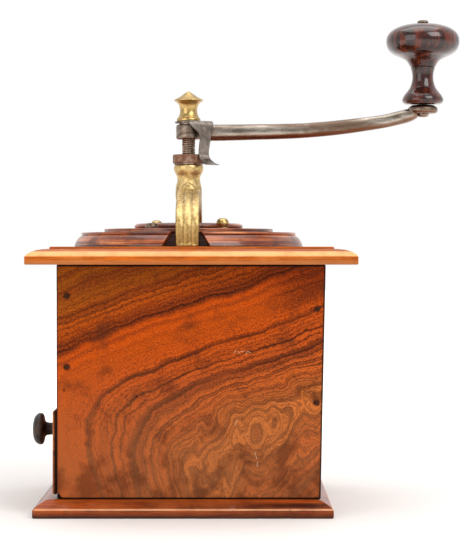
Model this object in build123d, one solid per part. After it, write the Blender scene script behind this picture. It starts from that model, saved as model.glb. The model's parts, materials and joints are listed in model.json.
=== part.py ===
# Hand crank coffee grinder: a wooden box mill with a drawer, a low dome with a turning shutter,
# a cast bridge over it, and a long crank on the spindle. Millimetres, +Z up. The origin is where
# the spindle's axis meets the underside of the plinth, the drawer faces -Y, and the crank rests
# pointing along +Y.
from build123d import *
import math
import os

# ---- wooden case ----
BOARD = 9.0                     # thickness of the case's boards
BOX_HALF_WIDTH = 70.0
BOX_FRONT_Y = -67.2
BOX_BACK_TOP_Y = 72.8
BOX_BACK_BOTTOM_Y = 70.2        # the back leans in towards the bottom
BOX_TOP_Z = 131.3
PLINTH_HALF_WIDTH = 77.7
PLINTH_FRONT_Y = -79.2
PLINTH_BACK_Y = 76.6
PLINTH_TOP_Z = 9.1
PLINTH_EDGE_Z = 4.6             # height of the plinth's upright edge
PLINTH_SLOPE = 7.3              # how far in its moulding runs
PLINTH_SWELL = 0.2              # how far the sloping moulding swells out
PLINTH_STRIP = 18.0             # width of one mitred plinth strip
TOP_HALF = 85.5
TOP_CENTRE_Y = 3.2
TOP_Z = 140.6
TOP_EDGE_Z = 135.5
THUMB_RUN = 11.4                # thumbnail moulding of the top board
THUMB_TOP_Z = 139.5
STEP_RUN = 12.7
HOLE_R = 45.0                   # hopper hole in the top board

# ---- drawer ----
DRAWER_GAP = 0.8
DRAWER_WALL = 6.0
DRAWER_FLOOR = 3.0
DRAWER_UNDERSIDE_Z = 9.5
DRAWER_SIDE_TOP_Z = 50.0
DRAWER_FRONT_Z = (11.6, 55.3)
FRONT_BOARD_Z = 55.9            # underside of the board above the drawer
LIP_FRONT_Y = -69.5
LIP_BACK_Y = -67.5
DRAWER_CORE_BACK_Y = -59.4
DRAWER_BACK_Y = 58.6
DRAWER_KNOB_Z = 39.5
DRAWER_KNOB_TIP_Y = -86.7
DRAWER_KNOB_R = 8.9
DRAWER_KNOB_STEM_R = 3.35
DRAWER_KNOB_FOOT_R = 4.6
DRAWER_SCREW_R = 1.5
DRAWER_SCREW_HEAD = (3.4, 2.0)  # radius and height
DRAWER_SCREW_DEPTH = 7.0        # how far short of the knob's tip its screw ends
LIP_ROUND = 1.4

# ---- nails through the side boards: (Y, Z) on the front row, then on the back row ----
NAIL_R = 0.9
NAIL_HEAD_R = 1.6
NAIL_HEAD = 0.5
NAIL_LENGTH = 16.0
NAIL_PLACES = [(-61.9, 115.0), (-61.9, 78.0), (68.4, 108.2), (67.9, 59.4)]

# ---- hopper bowl and burrs ----
BOWL_FLANGE_R = 49.0
BOWL_FLANGE = 1.2
BOWL_R = 44.7
BOWL_WALL = 1.5
BOWL_NECK_Z = 134.0
CUP_R = 24.0
CUP_TOP_Z = 112.0
CUP_BOTTOM_Z = 88.0
BURR_SEAT_R = 22.0
BURR_BOTTOM_Z = 91.0
OUTER_BURR_TOP_R = 18.6
OUTER_BURR_BOTTOM_R = 16.6
INNER_BURR_Z = (91.5, 115.0)
INNER_BURR_R = (16.0, 7.0)
BURR_TEETH = 14
BURR_GROOVE = 2.4               # side of the square cutter that leaves a groove
BURR_LEAN = 14.0                # degrees that the ring's grooves lean round
CONE_LEAN = -24.0
BURR_PIN_R = 1.2
BURR_PIN_HALF = 7.0
LUG_X = 28.0
LUG_R = 4.0
LUG_HEIGHT = 10.0
BAR = 4.0                       # thickness of the lower bearing bar
BAR_HALF_WIDTH = 6.0
BAR_BOSS_Z = 80.0
BAR_BOSS_R = 8.0
BAR_SCREW_R = 1.5
BAR_SCREW_HEAD = (3.0, 2.2)     # radius and height

# ---- dome ----
SHEET = 1.2
RING_FOOT_R = 63.4
RING_LIP_R = 59.5
RING_TOP_Z = 148.6
BOSS_R = 19.7
BOSS_TOP_Z = 150.9
DOME_BORE_R = 4.6
NOTCH_INNER_X = 49.5
NOTCH_HALF_TOP = 8.3
NOTCH_HALF_BOTTOM = 14.5
WINDOW_R = (31.5, 45.0)
WINDOW_SPREAD = 40.0            # degrees across one window
DISC_R = 46.8
DISC_BORE_R = 20.1
DISC_Z = (149.0, 150.6)
CAP_R = 30.1
CAP_TOP_Z = 154.0
CAP_EDGE_R = 2.1
KNOB_CIRCLE_R = 37.9            # circle of the shutter's knobs and guide screws
BALL_AZIMUTH = 30.2             # degrees from +X towards +Y, shutter closed
BALL_R = 3.4
BALL_HALF_HEIGHT = 2.8
BALL_STEM_R = 1.5
SCREW_AZIMUTH = -30.5
SCREW_R = 2.0
SCREW_HEAD_R = 3.5
SCREW_HEAD_Z = (150.9, 153.5)
SCREW_HEAD_ROUND = 2.0
SCREW_END_Z = 145.5
DRIVER_SLOT = 0.9               # width of a screw head's slot
SLOT_HALF_WIDTH = 2.4
SLOT_SPARE = 4.0                # degrees of slot beyond each end of the travel
SHUTTER_TRAVEL = 90.0           # degrees

# ---- bridge ----
BRIDGE_HALF_WIDTH = 6.0
LEG_X = (50.0, 57.5)            # inner and outer face of a leg
LEG_STRAIGHT_Z = 151.0
ARCH_UNDER_Z = 164.6
ARCH_OVER_Z = 173.2
HEAD_TOP_Z = 186.3
HEAD_TOP_R = 8.2
HEAD_WAIST_R = 6.4
HEAD_BASE_R = 7.3
FOOT_FLANGE = 1.6
FOOT_PROUD = 0.7
BOLT_X = 53.75
BOLT_R = 2.0
BOLT_HEAD_R = 4.5
BOLT_HEAD = 3.0
BOLT_TOP_Z = 152.0
BOLT_SLOT = (1.2, 1.0)          # width and depth
# radius and Z of the head, up from the arch
HEAD_OUTLINE = [(HEAD_BASE_R - 1.2, ARCH_UNDER_Z), (HEAD_BASE_R, 167.5), (HEAD_BASE_R, 173.5),
                (6.8, 175.5), (HEAD_WAIST_R, 178.0), (6.8, 180.0), (7.8, 182.0), (HEAD_TOP_R, 183.6),
                (HEAD_TOP_R, 185.6), (7.7, HEAD_TOP_Z)]

# ---- spindle, nut and crank ----
SPINDLE_R = 3.75
RUNNING_GAP = 0.05
SPINDLE_BOTTOM_Z = 78.5
JOURNAL_R = 3.25
JOURNAL_TOP_Z = 90.0
HUB_Z = (200.5, 208.6)
HUB_R = 6.95
SQUARE = 5.0                    # square seat of the crank on the spindle
SPINDLE_THREAD_R = 2.5
SPINDLE_TOP_Z = 221.0
KEY_WIDTH = 1.6
KEY_DEPTH = 0.9
KEY_Z = (180.0, 200.0)
KEY_PLAY = 0.15                 # room each side of the washer's tab in the keyway
WASHER_TOP_Z = 186.95
WASHER_R = 8.0
NUT_Z = (187.0, 191.9)
NUT_R = 9.4
NUT_NOTCHES = 4
NUT_CHAMFER = 0.4
NOTCH_WIDTH = 7.2
NOTCH_DEPTH = 2.4
CRANK_Y = 130.2                 # distance from the spindle to the knob's pin
# arm centreline (Y, Z), its height and its width, from the hub outwards
ARM_SECTIONS = [(2.5, 204.4, 7.2, 7.6), (17.4, 204.2, 9.1, 8.6), (62.0, 205.3, 8.3, 8.0),
                (84.2, 207.2, 8.0, 7.7), (106.5, 210.2, 7.4, 7.2), (115.4, 212.1, 7.5, 7.5),
                (121.8, 213.6, 7.4, 8.8), (126.2, 214.9, 5.6, 8.8)]
ARM_STEPS = 26                  # straight-sided stages that the bar is lofted in
EYE_R = 8.3
EYE_Z = (214.9, 218.8)
EYE_BOSS_R = 6.4
EYE_BOSS_TOP_Z = 219.4
PIN_R = 2.4
PIN_HEAD_R = 3.1
PIN_HEAD_Z = (265.0, 266.8)
PEEN_R = 3.4                    # spread end of the pin under the eye
PEEN = 2.1
HUB_WASHER_R = 5.2
FINIAL_Z = (210.3, 227.1)
# radius, and height above the finial's foot
FINIAL_OUTLINE = [(6.2, 0.0), (6.55, 0.6), (6.5, 1.6), (5.7, 2.6), (4.95, 3.8), (4.7, 5.2), (4.7, 7.2),
                  (5.0, 8.8), (6.4, 10.4), (7.5, 11.4), (7.95, 12.4), (7.7, 13.3), (6.4, 14.2), (3.6, 15.7),
                  (1.2, 16.7)]
# radius and Z of the crank's knob: flared foot, waisted stem, flat mushroom
KNOB_Z = (219.8, 264.7)
KNOB_OUTLINE = [(10.0, 219.8), (11.1, 220.8), (11.4, 222.2), (11.0, 224.0), (9.4, 226.0), (7.6, 228.1),
                (6.6, 230.4), (5.9, 232.8), (5.75, 235.0), (5.9, 237.2), (6.4, 239.2), (7.1, 241.4),
                (8.2, 243.4), (9.8, 244.9), (12.4, 246.2), (16.0, 247.8), (18.5, 249.8), (19.8, 252.4),
                (20.3, 255.0), (19.9, 257.4), (18.6, 259.6), (16.0, 261.8), (11.6, 263.6), (6.0, 264.5),
                (3.4, 264.7)]

# ---- catch: a strip bent down beside the arm ----
CATCH_SHEET = 0.9
CATCH_AZIMUTH = 30.0            # degrees from +X towards +Y of the strip's outward face
CATCH_PLATE_Z = 209.4
CATCH_PLATE_R = 7.6
CATCH_PLATE_END = 9.4           # how far out from the axis the clamped plate ends
CATCH_PLATE_SIDES = (-5.6, 9.4)
# distance from the spindle's axis and Z along the middle of the strip
CATCH_LINE = [(10.0, 209.5), (10.5, 208.4), (10.8, 204.0), (10.8, 199.0), (10.5, 195.5),
              (10.3, 193.5), (10.3, 191.4), (10.9, 189.6), (12.6, 188.1), (15.8, 186.5), (19.3, 185.7)]
# sideways place and Z round the strip's outline, seen square on
CATCH_OUTLINE = [(-5.7, 210.2), (-4.6, 207.6), (-2.0, 205.8), (0.4, 203.6), (1.3, 200.6),
                 (0.7, 196.0), (0.7, 189.0), (0.4, 184.0), (8.3, 184.0), (8.0, 187.0),
                 (7.2, 190.0), (7.0, 196.0), (7.8, 199.0), (8.4, 205.4), (9.6, 207.6), (9.6, 210.2)]


def out(name, shape):
    """Write one sub-part."""
    export_step(shape, f"parts/{name}.step")


def slab(x, y, z):
    """Box between pairs of limits along the three axes."""
    size = (x[1] - x[0], y[1] - y[0], z[1] - z[0])
    middle = ((x[0] + x[1]) / 2, (y[0] + y[1]) / 2, (z[0] + z[1]) / 2)
    return Pos(*middle) * Box(*size)


def rod(radius, z, x=0.0, y=0.0):
    """Upright cylinder between two heights."""
    return Pos(x, y, (z[0] + z[1]) / 2) * Cylinder(radius, z[1] - z[0])


def across(radius, x, y, z):
    """Cylinder along X between two places."""
    return Pos((x[0] + x[1]) / 2, y, z) * Rot(0, 90, 0) * Cylinder(radius, abs(x[1] - x[0]))


def turned(points):
    """Solid of revolution about Z from (radius, height) points."""
    profile = Plane.XZ * make_face(Polyline(*points, close=True))
    return revolve(profile, Axis.Z)


def extruded_yz(points, x):
    """Prism along X from (Y, Z) points."""
    face = Plane.YZ * make_face(Polyline(*points, close=True))
    return Pos(x[0], 0, 0) * extrude(face, x[1] - x[0], dir=(1, 0, 0))


def extruded_xz(points, y):
    """Prism along Y from (X, Z) points."""
    face = Plane.XZ * make_face(Polyline(*points, close=True))
    return Pos(0, y[0], 0) * extrude(face, y[1] - y[0], dir=(0, 1, 0))


def sector(radii, spread, azimuth, z):
    """Part of a flat ring, centred on an azimuth in degrees."""
    start = azimuth - spread / 2
    ring = rod(radii[1], z) - rod(radii[0], z)
    reach = 2 * radii[1]
    corners = [(0, 0)]
    for step in range(3):
        angle = math.radians(start + spread * step / 2)
        corners.append((reach * math.cos(angle), reach * math.sin(angle)))
    wedge = extrude(make_face(Polyline(*corners, close=True)), z[1] - z[0])
    return ring & (Pos(0, 0, z[0]) * wedge)


def around(radius, azimuth):
    """Point on a circle about the spindle."""
    angle = math.radians(azimuth)
    return radius * math.cos(angle), radius * math.sin(angle)


# ---- wooden case ----

def plinth_section(low, high):
    """Section of the plinth: upright edge, then a slope with a slight swell up to the flat."""
    half = [(low, 0), (low, PLINTH_EDGE_Z)]
    for part in (0.25, 0.5, 0.75):
        swell = PLINTH_SWELL * math.sin(part * math.pi)
        half.append((low + PLINTH_SLOPE * part,
                     PLINTH_EDGE_Z + (PLINTH_TOP_Z - PLINTH_EDGE_Z) * part + swell))
    half.append((low + PLINTH_SLOPE, PLINTH_TOP_Z))
    return half + [(low + high - y, z) for y, z in reversed(half)]


def plinth_slab():
    """Moulded slab from which the four mitred strips are cut."""
    return (extruded_yz(plinth_section(PLINTH_FRONT_Y, PLINTH_BACK_Y),
                        (-PLINTH_HALF_WIDTH, PLINTH_HALF_WIDTH))
            & extruded_xz(plinth_section(-PLINTH_HALF_WIDTH, PLINTH_HALF_WIDTH),
                          (PLINTH_FRONT_Y, PLINTH_BACK_Y)))


def plinth():
    """Four mitred strips, and the bottom board let in between them."""
    whole = plinth_slab()
    outer = [(-PLINTH_HALF_WIDTH, PLINTH_FRONT_Y), (PLINTH_HALF_WIDTH, PLINTH_FRONT_Y),
             (PLINTH_HALF_WIDTH, PLINTH_BACK_Y), (-PLINTH_HALF_WIDTH, PLINTH_BACK_Y)]
    inset = PLINTH_HALF_WIDTH - PLINTH_STRIP
    near, far = PLINTH_FRONT_Y + PLINTH_STRIP, PLINTH_BACK_Y - PLINTH_STRIP
    inner = [(-inset, near), (inset, near), (inset, far), (-inset, far)]
    names = ["plinth_front", "plinth_right", "plinth_back", "plinth_left"]
    for side, name in enumerate(names):
        after = (side + 1) % 4
        corners = [outer[side], outer[after], inner[after], inner[side]]
        wedge = extrude(make_face(Polyline(*corners, close=True)), PLINTH_TOP_Z)
        out(name, whole & wedge)
    out("bottom_board", slab((-inset, inset), (near, far), (0, PLINTH_TOP_Z)))


def side_nails(sign):
    """Nails through one side board, with their flat heads just below its face."""
    face = BOX_HALF_WIDTH
    nails = []
    for y, z in NAIL_PLACES:
        head = across(NAIL_HEAD_R, (sign * (face - NAIL_HEAD), sign * face), y, z)
        shank = across(NAIL_R, (sign * (face - NAIL_LENGTH), sign * (face - NAIL_HEAD)), y, z)
        nails.append(head + shank)
    return nails


def case_boards():
    """Side, front and back boards, and the nails that hold them."""
    right_nails = side_nails(1)
    left_nails = side_nails(-1)
    inside = BOX_HALF_WIDTH - BOARD
    side = [(BOX_FRONT_Y, PLINTH_TOP_Z), (BOX_BACK_BOTTOM_Y, PLINTH_TOP_Z),
            (BOX_BACK_TOP_Y, BOX_TOP_Z), (BOX_FRONT_Y, BOX_TOP_Z)]
    right = extruded_yz(side, (inside, BOX_HALF_WIDTH))
    left = extruded_yz(side, (-BOX_HALF_WIDTH, -inside))
    back = extruded_yz([(BOX_BACK_BOTTOM_Y - BOARD, PLINTH_TOP_Z), (BOX_BACK_BOTTOM_Y, PLINTH_TOP_Z),
                        (BOX_BACK_TOP_Y, BOX_TOP_Z), (BOX_BACK_TOP_Y - BOARD, BOX_TOP_Z)],
                       (-inside, inside))
    front = slab((-inside, inside), (BOX_FRONT_Y, BOX_FRONT_Y + BOARD), (FRONT_BOARD_Z, BOX_TOP_Z))
    for nail in right_nails:
        right -= nail
        back -= nail
        front -= nail
    for nail in left_nails:
        left -= nail
        back -= nail
        front -= nail
    out("side_panel_right", right)
    out("side_panel_left", left)
    out("back_board", back)
    out("front_board", front)
    out("side_nails", Compound(children=right_nails + left_nails))


def top_board():
    """Square top with a thumbnail moulding, a step, and the rebated hopper hole."""
    def section(centre):
        low, high = centre - TOP_HALF, centre + TOP_HALF
        half = [(low, BOX_TOP_Z), (low, TOP_EDGE_Z)]
        for part in (1, 2, 3, 4):
            angle = part * math.pi / 10
            half.append((low + THUMB_RUN * (1 - math.cos(angle)),
                         TOP_EDGE_Z + (THUMB_TOP_Z - TOP_EDGE_Z) * math.sin(angle)))
        half += [(low + THUMB_RUN, THUMB_TOP_Z), (low + STEP_RUN, TOP_Z)]
        return half + [(low + high - a, b) for a, b in reversed(half)]

    low, high = TOP_CENTRE_Y - TOP_HALF, TOP_CENTRE_Y + TOP_HALF
    board = (extruded_yz(section(TOP_CENTRE_Y), (-TOP_HALF, TOP_HALF))
             & extruded_xz(section(0), (low, high)))
    board -= rod(HOLE_R, (BOX_TOP_Z, TOP_Z))
    board -= rod(BOWL_FLANGE_R, (TOP_Z - BOWL_FLANGE, TOP_Z))
    for x in (-BOLT_X, BOLT_X):
        board -= rod(BOLT_R, (BOX_TOP_Z, TOP_Z), x)
    out("top_board", board)


# ---- drawer ----

def drawer():
    """Lipped front, two sides, a back and a bottom, with a turned knob and its screw."""
    half = BOX_HALF_WIDTH - BOARD - DRAWER_GAP
    inner = half - DRAWER_WALL
    front_z = DRAWER_FRONT_Z
    lip_half = BOX_HALF_WIDTH - DRAWER_GAP
    lip = slab((-lip_half, lip_half), (LIP_FRONT_Y, LIP_BACK_Y), front_z)
    front_edges = lip.edges().filter_by(lambda e: abs(e.center().Y - LIP_FRONT_Y) < 0.01)
    lip = fillet(front_edges, LIP_ROUND)
    core = slab((-half, half), (LIP_BACK_Y, DRAWER_CORE_BACK_Y), front_z)
    screw_hole = Pos(0, 0, DRAWER_KNOB_Z) * Rot(90, 0, 0)
    shank_from, shank_to = DRAWER_CORE_BACK_Y, DRAWER_KNOB_TIP_Y + DRAWER_SCREW_DEPTH
    middle = (shank_from + shank_to) / 2
    shank = Pos(0, middle, 0) * screw_hole * Cylinder(DRAWER_SCREW_R, shank_from - shank_to)
    head_r, head_height = DRAWER_SCREW_HEAD
    head = Pos(0, DRAWER_CORE_BACK_Y + head_height / 2, 0) * screw_hole * Cylinder(head_r, head_height)
    out("drawer_front", lip + core - shank)
    out("drawer_knob_screw", shank + head)

    side_y = (DRAWER_CORE_BACK_Y, DRAWER_BACK_Y)
    side_z = (DRAWER_UNDERSIDE_Z, DRAWER_SIDE_TOP_Z)
    out("drawer_side_right", slab((inner, half), side_y, side_z))
    out("drawer_side_left", slab((-half, -inner), side_y, side_z))
    out("drawer_bottom", slab((-inner, inner), side_y,
                              (DRAWER_UNDERSIDE_Z, DRAWER_UNDERSIDE_Z + DRAWER_FLOOR)))
    out("drawer_back", slab((-inner, inner), (DRAWER_BACK_Y - DRAWER_WALL, DRAWER_BACK_Y),
                            (DRAWER_UNDERSIDE_Z + DRAWER_FLOOR, DRAWER_SIDE_TOP_Z)))

    # the knob is turned about its own axis, which here runs from the tip (0) to the drawer
    length = LIP_FRONT_Y - DRAWER_KNOB_TIP_Y
    profile = [(0, 0), (5.2, 0.5), (7.8, 1.9), (DRAWER_KNOB_R, 4.2), (8.2, 6.2), (5.4, 7.4),
               (DRAWER_KNOB_STEM_R, 8.6), (DRAWER_KNOB_STEM_R, length - 1.2), (DRAWER_KNOB_FOOT_R, length),
               (0, length)]
    knob = Pos(0, DRAWER_KNOB_TIP_Y, DRAWER_KNOB_Z) * Rot(-90, 0, 0) * turned(profile)
    out("drawer_knob", knob - shank)


# ---- hopper bowl, burrs and lower bearing ----

def hopper():
    """Funnel in the top board's hole, ending in the cup that holds the outer burr."""
    top_inner = BOWL_R - BOWL_WALL
    bowl = turned([(BOWL_FLANGE_R, TOP_Z), (BOWL_FLANGE_R, TOP_Z - BOWL_FLANGE),
                   (BOWL_R, TOP_Z - BOWL_FLANGE), (BOWL_R, BOWL_NECK_Z), (CUP_R, CUP_TOP_Z),
                   (CUP_R, CUP_BOTTOM_Z), (BURR_SEAT_R, CUP_BOTTOM_Z), (BURR_SEAT_R, CUP_TOP_Z + 0.6),
                   (top_inner, BOWL_NECK_Z + 0.6), (top_inner, TOP_Z)])
    lug_top = CUP_BOTTOM_Z + LUG_HEIGHT
    screws = []
    for sign in (-1, 1):
        lug = rod(LUG_R, (CUP_BOTTOM_Z, lug_top), sign * LUG_X)
        web = slab(sorted((sign * (BURR_SEAT_R + 1), sign * LUG_X)), (-LUG_R + 1, LUG_R - 1),
                   (CUP_BOTTOM_Z, lug_top))
        bowl += lug + web
        shank = rod(BAR_SCREW_R, (CUP_BOTTOM_Z - BAR, lug_top - 2), sign * LUG_X)
        head = rod(BAR_SCREW_HEAD[0], (CUP_BOTTOM_Z - BAR - BAR_SCREW_HEAD[1], CUP_BOTTOM_Z - BAR),
                   sign * LUG_X)
        screws.append(shank + head)
    bar = slab((-LUG_X - LUG_R, LUG_X + LUG_R), (-BAR_HALF_WIDTH, BAR_HALF_WIDTH),
               (CUP_BOTTOM_Z - BAR, CUP_BOTTOM_Z))
    bar += rod(BAR_BOSS_R, (BAR_BOSS_Z, CUP_BOTTOM_Z))
    bar -= rod(JOURNAL_R + RUNNING_GAP, (BAR_BOSS_Z, CUP_BOTTOM_Z))
    for screw in screws:
        bowl -= screw
        bar -= screw
    out("hopper_bowl", bowl)
    out("lower_bearing_bar", bar)
    out("bearing_screws", Compound(children=screws))


def burrs():
    """Fixed outer ring and turning inner cone, both with grooves between their teeth."""
    top = CUP_TOP_Z
    ring = turned([(BURR_SEAT_R, BURR_BOTTOM_Z), (BURR_SEAT_R, top), (OUTER_BURR_TOP_R, top),
                   (OUTER_BURR_BOTTOM_R, BURR_BOTTOM_Z + 3), (OUTER_BURR_BOTTOM_R, BURR_BOTTOM_Z)])
    for tooth in range(BURR_TEETH):
        groove = Pos(OUTER_BURR_TOP_R - 0.4, 0, top) * Rot(BURR_LEAN, -BURR_LEAN / 2, 45)
        groove = groove * Box(BURR_GROOVE, BURR_GROOVE, 34)
        ring -= Rot(0, 0, tooth * 360 / BURR_TEETH) * groove
    out("outer_burr", ring)

    low, high = INNER_BURR_Z
    wide, narrow = INNER_BURR_R
    cone = turned([(SPINDLE_R, low), (wide - 1, low), (wide, low + 1.5), (narrow, high),
                   (SPINDLE_R, high)])
    slope = math.degrees(math.atan2(wide - narrow, high - low))
    for tooth in range(BURR_TEETH):
        groove = Pos((wide + narrow) / 2 + 0.9, 0, (low + high) / 2)
        groove = groove * Rot(CONE_LEAN, -slope, 45) * Box(BURR_GROOVE + 0.2, BURR_GROOVE + 0.2, 44)
        cone -= Rot(0, 0, tooth * 360 / BURR_TEETH) * groove
    pin = across(BURR_PIN_R, (-BURR_PIN_HALF, BURR_PIN_HALF), 0, low + 5)
    cone -= pin
    out("inner_burr", cone)
    out("burr_pin", pin)
    return pin


# ---- dome and shutter ----

def notches(grow):
    """Tapered recesses in the dome's ring for the bridge's feet, grown by a wall's thickness."""
    reach = RING_FOOT_R + 5
    cut = None
    for sign in (-1, 1):
        outline = [(-NOTCH_HALF_BOTTOM - grow, TOP_Z), (NOTCH_HALF_BOTTOM + grow, TOP_Z),
                   (NOTCH_HALF_TOP + grow, RING_TOP_Z), (-NOTCH_HALF_TOP - grow, RING_TOP_Z)]
        limits = sorted((sign * (NOTCH_INNER_X - grow), sign * reach))
        prism = extruded_yz(outline, limits)
        cut = prism if cut is None else cut + prism
    return cut


def dome_shell():
    """Sheet ring with a lip, a flat web with two windows, and a boss in the middle."""
    flat = RING_TOP_Z
    side = [(RING_FOOT_R, TOP_Z), (RING_FOOT_R, TOP_Z + 0.7), (62.9, 142.6), (62.0, 144.2),
            (60.8, 145.7), (RING_LIP_R + 0.2, 146.7), (RING_LIP_R - 0.4, 147.0), (RING_LIP_R, 147.4),
            (RING_LIP_R, 148.3), (RING_LIP_R - 0.4, flat), (57.6, flat), (57.0, flat - 0.4),
            (DISC_R + 1.2, flat)]
    outer = turned([(0, TOP_Z)] + side + [(0, flat)])
    inner_side = [(RING_FOOT_R - SHEET, TOP_Z), (61.0, 143.6), (58.6, 146.2), (57.8, flat - SHEET - 0.3)]
    inner = turned([(0, TOP_Z)] + inner_side + [(0, flat - SHEET - 0.3)])
    shell = (outer - notches(0)) - (inner - notches(SHEET))
    boss = rod(BOSS_R, (flat - SHEET - 0.3, BOSS_TOP_Z))
    boss -= rod(BOSS_R - SHEET, (flat - SHEET - 0.3, BOSS_TOP_Z - SHEET))
    shell -= rod(BOSS_R - SHEET, (flat - SHEET - 0.4, flat))
    shell += boss
    shell -= rod(DOME_BORE_R, (TOP_Z, CAP_TOP_Z))
    for azimuth in (90, 270):
        shell -= sector(WINDOW_R, WINDOW_SPREAD, azimuth, (flat - SHEET - 1, flat + 0.1))
    for azimuth in (SCREW_AZIMUTH, SCREW_AZIMUTH + 180):
        shell -= rod(SCREW_R, (TOP_Z, flat + 1), *around(KNOB_CIRCLE_R, azimuth))
    out("dome_shell", shell)


def dome_cap():
    """Low cap that holds the shutter down, with a rounded edge."""
    cap = rod(CAP_R, (BOSS_TOP_Z, CAP_TOP_Z))
    cap = fillet(cap.edges().group_by(Axis.Z)[-1], CAP_EDGE_R)
    cap = fillet(cap.edges().group_by(Axis.Z)[0], 0.8)
    hollow = rod(CAP_R - 3, (BOSS_TOP_Z, BOSS_TOP_Z + 1.6)) - rod(BOSS_R, (BOSS_TOP_Z, CAP_TOP_Z))
    out("dome_cap", cap - hollow - rod(DOME_BORE_R, (BOSS_TOP_Z, CAP_TOP_Z)))


def guide_screws():
    """Two round-head screws that hold the shutter down and guide it by its slots."""
    screws = []
    for azimuth in (SCREW_AZIMUTH, SCREW_AZIMUTH + 180):
        x, y = around(KNOB_CIRCLE_R, azimuth)
        low, high = SCREW_HEAD_Z
        head = rod(SCREW_HEAD_R, SCREW_HEAD_Z)
        head = fillet(head.edges().group_by(Axis.Z)[-1], SCREW_HEAD_ROUND)
        head -= Pos(0, 0, high) * Rot(0, 0, azimuth + 20) * Box(2 * SCREW_HEAD_R + 1, DRIVER_SLOT, 2.2)
        screws.append(Pos(x, y, 0) * (head + rod(SCREW_R, (SCREW_END_Z, low))))
    out("guide_screws", Compound(children=screws))


def shutter():
    """Turning disc with two windows and two guide slots, and its ball knobs."""
    disc = rod(DISC_R, DISC_Z)
    disc = fillet(disc.edges().group_by(Axis.Z)[-1], 0.6)
    disc -= rod(DISC_BORE_R, DISC_Z)
    slot = (KNOB_CIRCLE_R - SLOT_HALF_WIDTH, KNOB_CIRCLE_R + SLOT_HALF_WIDTH)
    balls = []
    for turn in (0, 180):
        disc -= sector(WINDOW_R, WINDOW_SPREAD, turn, DISC_Z)
        middle = SCREW_AZIMUTH + turn - SHUTTER_TRAVEL / 2
        disc -= sector(slot, SHUTTER_TRAVEL + 2 * SLOT_SPARE, middle, DISC_Z)
        for end in (-1, 1):
            azimuth = middle + end * (SHUTTER_TRAVEL / 2 + SLOT_SPARE)
            disc -= rod(SLOT_HALF_WIDTH, DISC_Z, *around(KNOB_CIRCLE_R, azimuth))
        x, y = around(KNOB_CIRCLE_R, BALL_AZIMUTH + turn)
        disc -= rod(BALL_STEM_R, DISC_Z, x, y)
        outline = [(0, DISC_Z[1])]
        for step in range(1, 12):
            angle = math.pi * step / 12
            outline.append((BALL_R * math.sin(angle),
                            DISC_Z[1] + BALL_HALF_HEIGHT * (1 - math.cos(angle))))
        outline.append((0, DISC_Z[1] + 2 * BALL_HALF_HEIGHT))
        ball = turned(outline) + rod(BALL_STEM_R, (DISC_Z[0], DISC_Z[1] + 1))
        balls.append(Pos(x, y, 0) * ball)
    out("shutter_disc", disc)
    out("shutter_knobs", Compound(children=balls))


# ---- bridge ----

def bridge():
    """Cast arch on two feet, with a turned head that carries the spindle."""
    def quarter(half_span, low, high, sign):
        points = []
        for step in range(0, 9):
            angle = math.pi / 2 * step / 8
            points.append((sign * half_span * math.cos(angle), low + (high - low) * math.sin(angle)))
        return points

    over = quarter(LEG_X[1], LEG_STRAIGHT_Z, ARCH_OVER_Z, -1)
    over += list(reversed(quarter(LEG_X[1], LEG_STRAIGHT_Z, ARCH_OVER_Z, 1)))[1:]
    under = quarter(LEG_X[0], LEG_STRAIGHT_Z, ARCH_UNDER_Z, 1)
    under += list(reversed(quarter(LEG_X[0], LEG_STRAIGHT_Z, ARCH_UNDER_Z, -1)))[1:]
    outline = [(-LEG_X[0], TOP_Z), (-LEG_X[1], TOP_Z)] + over
    outline += [(LEG_X[1], TOP_Z), (LEG_X[0], TOP_Z)] + under
    casting = extruded_xz(outline, (-BRIDGE_HALF_WIDTH, BRIDGE_HALF_WIDTH))
    head = turned([(0, ARCH_UNDER_Z)] + HEAD_OUTLINE + [(0, HEAD_TOP_Z)])
    casting += head
    for sign in (-1, 1):
        limits = sorted((sign * (LEG_X[0] - 0.2), sign * (LEG_X[1] + FOOT_PROUD)))
        casting += slab(limits, (-BRIDGE_HALF_WIDTH - FOOT_PROUD, BRIDGE_HALF_WIDTH + FOOT_PROUD),
                        (TOP_Z, TOP_Z + FOOT_FLANGE))
        casting -= rod(BOLT_R, (TOP_Z, BOLT_TOP_Z), sign * BOLT_X)
    casting -= rod(SPINDLE_R + RUNNING_GAP, (ARCH_UNDER_Z - 1, HEAD_TOP_Z))
    out("bridge", casting)

    bolts = []
    for sign in (-1, 1):
        shank = rod(BOLT_R, (BOX_TOP_Z, BOLT_TOP_Z), sign * BOLT_X)
        head = rod(BOLT_HEAD_R, (BOX_TOP_Z - BOLT_HEAD, BOX_TOP_Z), sign * BOLT_X)
        slot = Box(2 * BOLT_HEAD_R + 1, BOLT_SLOT[0], 2 * BOLT_SLOT[1])
        head -= Pos(sign * BOLT_X, 0, BOX_TOP_Z - BOLT_HEAD) * slot
        bolts.append(shank + head)
    out("bridge_bolts", Compound(children=bolts))


# ---- spindle, nut, crank ----

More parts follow.
